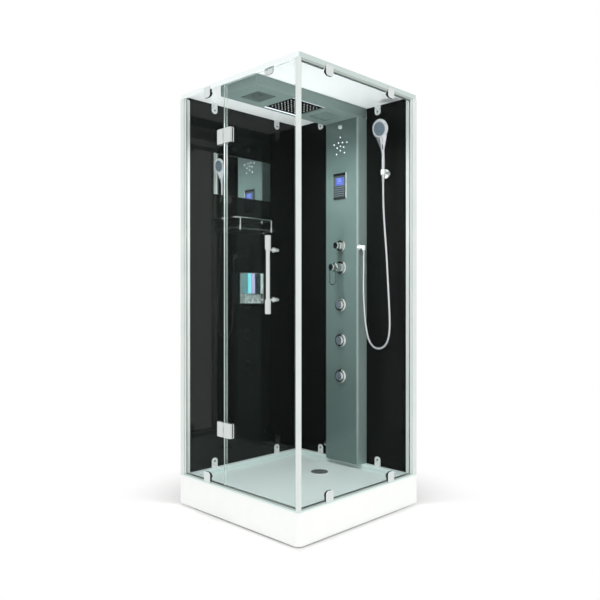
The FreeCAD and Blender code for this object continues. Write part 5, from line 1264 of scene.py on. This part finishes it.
class CABIN_OT_body_jets(bpy.types.Operator):
    """Adds the three body jets"""
    bl_idname = "cabin.body_jets"
    bl_label = "Body jets"

    def execute(self, context):
        cups = eased("jet_rings", sizes().edge_width)
        hand_over(cups, "cabin", finish(polished_chrome), ("jet_rings",))
        ball = 0.029
        rings = []
        for depth in (-0.0116, -0.007, -0.002, 0.003, 0.008, 0.0125, 0.0160):
            rings.append((math.sqrt(ball ** 2 - depth ** 2), depth))
        rings += [(0.0234, 0.0176), (0.0230, 0.0181), (0.0224, 0.0181), (0.0219, 0.0172), (0.0040, 0.0172)]
        start = JET_HEIGHTS["middle"]
        centre = (COLUMN_X, 0.355, start)
        socket = turned("jet_socket", centre, TO_THE_DOOR, rings)
        plate = turned(
            "jet_plate", centre, TO_THE_DOOR,
            [(0.0217, 0.0165), (0.0217, 0.0180), (0.0208, 0.0188), (0.0130, 0.0197), (0.0030, 0.0200)],
        )
        nub_rings = [(0.0014, 0.0180), (0.0013, 0.0204), (0.0008, 0.0211)]
        nub = turned("jet_nub", centre, TO_THE_DOOR, nub_rings, 10)
        nubs = []
        for count, radius in ((6, 0.0064), (12, 0.0124), (18, 0.0180)):
            for number in range(count):
                turn = math.tau * number / count
                nubs.append(copied(nub, (radius * math.cos(turn), 0, radius * math.sin(turn))))
        bpy.data.objects.remove(nub)
        face = unite("jet_nubs", nubs)
        for name, height in JET_HEIGHTS.items():
            body = "jet_nozzle_" + name
            offset = (0, 0, height - start)
            for piece, material, replaced in (
                (socket, finish(polished_chrome), (body,)),
                (plate, finish(jet_rubber), ()),
                (face, finish(nozzle_rubber), ()),
            ):
                copy = copied(piece, offset)
                copy.name = f"{piece.name}_{name}"
                copy.data.name = copy.name
                hand_over(copy, body, material, replaced)
        for piece in (socket, plate, face):
            bpy.data.objects.remove(piece)
        return {"FINISHED"}


# ---- ceiling box ---------------------------------------------------------------------------------
class CABIN_OT_ceiling_box(bpy.types.Operator):
    """Finishes the ceiling box, the rain head, the lights and the grille"""
    bl_idname = "cabin.ceiling_box"
    bl_label = "Ceiling box"

    def execute(self, context):
        edge = sizes().edge_width
        ease_all([
            ("ceiling_box", "cabin", "grey_abs", finish(shadow_green_abs), edge),
            ("rain_head", "cabin", "dark_chrome", finish(rain_plate), 0),
            ("fan_grille", "cabin", "grey_abs", finish(shadow_green_abs), 0),
        ])
        bars = []
        for side in (-1, 1):
            far = COLUMN_X + 0.1095 * side
            near = far - 0.003 * side
            low, high = (min(far, near), -0.1395, 2.1350), (max(far, near), 0.1035, 2.1380)
            bars.append(pressed_block("light_bar", low, high, 0.001))
        hand_over(unite("light_bars", bars), "cabin", finish(lit_lens), ("ceiling_lights",))
        lens = [pressed_block("lamp_lens", (-0.0875, 0.147, 2.1381), (0.0635, 0.301, 2.1440), 0.0015)]
        for number in range(12):
            y = 0.1605 + number * 0.0112
            low, high = (-0.077, y, 2.1366), (0.053, y + 0.0056, 2.1392)
            lens.append(pressed_block("lens_rib", low, high, 0.0012, 2))
        hand_over(unite("lamp_lens", lens), "cabin", finish(ribbed_lens))
        return {"FINISHED"}


# ---- left wall -----------------------------------------------------------------------------------
class CABIN_OT_shelf_and_mirror(bpy.types.Operator):
    """Finishes the mirror and the shelf with its guard rail"""
    bl_idname = "cabin.shelf_and_mirror"
    bl_label = "Shelf and mirror"

    def execute(self, context):
        edge = sizes().edge_width
        ease_all([
            ("mirror", "cabin", "mirror", finish(silver_mirror), edge * 1.5),
            ("shelf_rail", "cabin", "chrome", finish(polished_chrome), edge * 0.6),
        ])
        return {"FINISHED"}


class CABIN_OT_dispenser(bpy.types.Operator):
    """Adds the soap dispenser: its housing, tanks, pumps, lid and buttons"""
    bl_idname = "cabin.dispenser"
    bl_label = "Soap dispenser"

    def execute(self, context):
        edge = sizes().edge_width
        housing = finish(frosted_housing)
        ease_all([
            ("dispenser_body", "cabin", "grey_plastic", housing, edge * 0.8),
            ("dispenser_lid", "dispenser_lid", "grey_plastic", housing, edge * 0.5),
        ])
        tanks = (
            ("near", -0.0333, -0.0521, -0.0290, tinted_tank("cyan", "#79C9CF", "#4FA9B4")),
            ("middle", 0.0060, -0.0275, 0.0010, tinted_tank("lavender", "#A0A4BE", "#8589A6")),
            ("far", 0.0453, 0.0030, 0.0425, tinted_tank("smoke", "#26333A", "#0F1618")),
        )
        clear = [
            pressed_block("pump_base", (-0.4195, -0.0535, 1.0800), (-0.3806, 0.0655, 1.1330), 0.002),
            pressed_block("gauge", (-0.4195, 0.0440, 1.1350), (-0.3560, 0.0640, 1.2510), 0.002),
            pressed_block("rim", (-0.4238, -0.0559, 1.0785), (-0.4140, -0.0540, 1.2518), 0.0005),
        ]
        hand_over(unite("pump_base", clear), "cabin", finish(pale_styrene))
        replaced = ("dispenser_chambers",)
        for number, (name, y, low, high, material) in enumerate(tanks, start=1):
            tank = pressed_block(
                "soap_tank_" + name, (-0.4175, low, 1.1350), (-0.3545, high, 1.2516), 0.0030, 3,
            )
            hand_over(tank, "cabin", material, replaced)
            replaced = ()
            body = f"dispenser_button_{number}"
            button = turned(
                f"soap_button_{name}", (-0.3575, y, 1.099), (1, 0, 0),
                [
                    (0.0028, -0.0170), (0.0028, -0.0005), (0.0080, -0.0005), (0.0086, 0.0000),
                    (0.0086, 0.0105), (0.0080, 0.0114), (0.0066, 0.0114), (0.0050, 0.0106),
                    (0.0010, 0.0104),
                ],
                32,
            )
            hand_over(button, body, finish(silvered_plastic), (body,))
        return {"FINISHED"}


# ---- what lies hidden ----------------------------------------------------------------------------
class CABIN_OT_hidden_works(bpy.types.Operator):
    """Finishes the frame, the feet, the waste, the pipes, the boiler and the extractor"""
    bl_idname = "cabin.hidden_works"
    bl_label = "Hidden works"

    def execute(self, context):
        keep_all([
            ("tray_frame", finish(zinc_plated_steel)),
            ("adjustable_feet", finish(zinc_plated_steel)),
            ("drain_trap", finish(white_pvc)),
            ("speaker", finish(black_plastic)),
            ("water_pipes", finish(bare_brass)),
            ("steam_generator", finish(brushed_steel)),
            ("fan_housing", finish(black_plastic)),
            ("fan_rotor", finish(black_plastic)),
        ])
        return {"FINISHED"}


STEPS = [
    CABIN_OT_stage, CABIN_OT_shower_hose, CABIN_OT_hand_shower, CABIN_OT_tray, CABIN_OT_profiles,
    CABIN_OT_glass, CABIN_OT_fittings, CABIN_OT_column, CABIN_OT_controls, CABIN_OT_body_jets,
    CABIN_OT_ceiling_box, CABIN_OT_shelf_and_mirror, CABIN_OT_dispenser, CABIN_OT_hidden_works,
]


class CABIN_PT_panel(bpy.types.Panel):
    """Lists the steps that make the cabin, with its sizes and colours"""
    bl_idname = "CABIN_PT_panel"
    bl_label = "Steam shower cabin"
    bl_space_type = "VIEW_3D"
    bl_region_type = "UI"
    bl_category = "Cabin"

    def draw(self, context):
        for group in (context.scene.cabin_sizes, context.scene.cabin_colours):
            for name in group.__annotations__:
                self.layout.prop(group, name)
        for step in STEPS:
            self.layout.operator(step.bl_idname)


CLASSES = [CabinSizes, CabinColours, *STEPS, CABIN_PT_panel]


def register():
    for item in CLASSES:
        bpy.utils.register_class(item)
    bpy.types.Scene.cabin_sizes = PointerProperty(type=CabinSizes)
    bpy.types.Scene.cabin_colours = PointerProperty(type=CabinColours)


def unregister():
    del bpy.types.Scene.cabin_colours
    del bpy.types.Scene.cabin_sizes
    for item in reversed(CLASSES):
        bpy.utils.unregister_class(item)


def main():
    register()
    for step in STEPS:
        group, name = step.bl_idname.split(".")
        getattr(getattr(bpy.ops, group), name)()


if __name__ == "__main__":
    main()
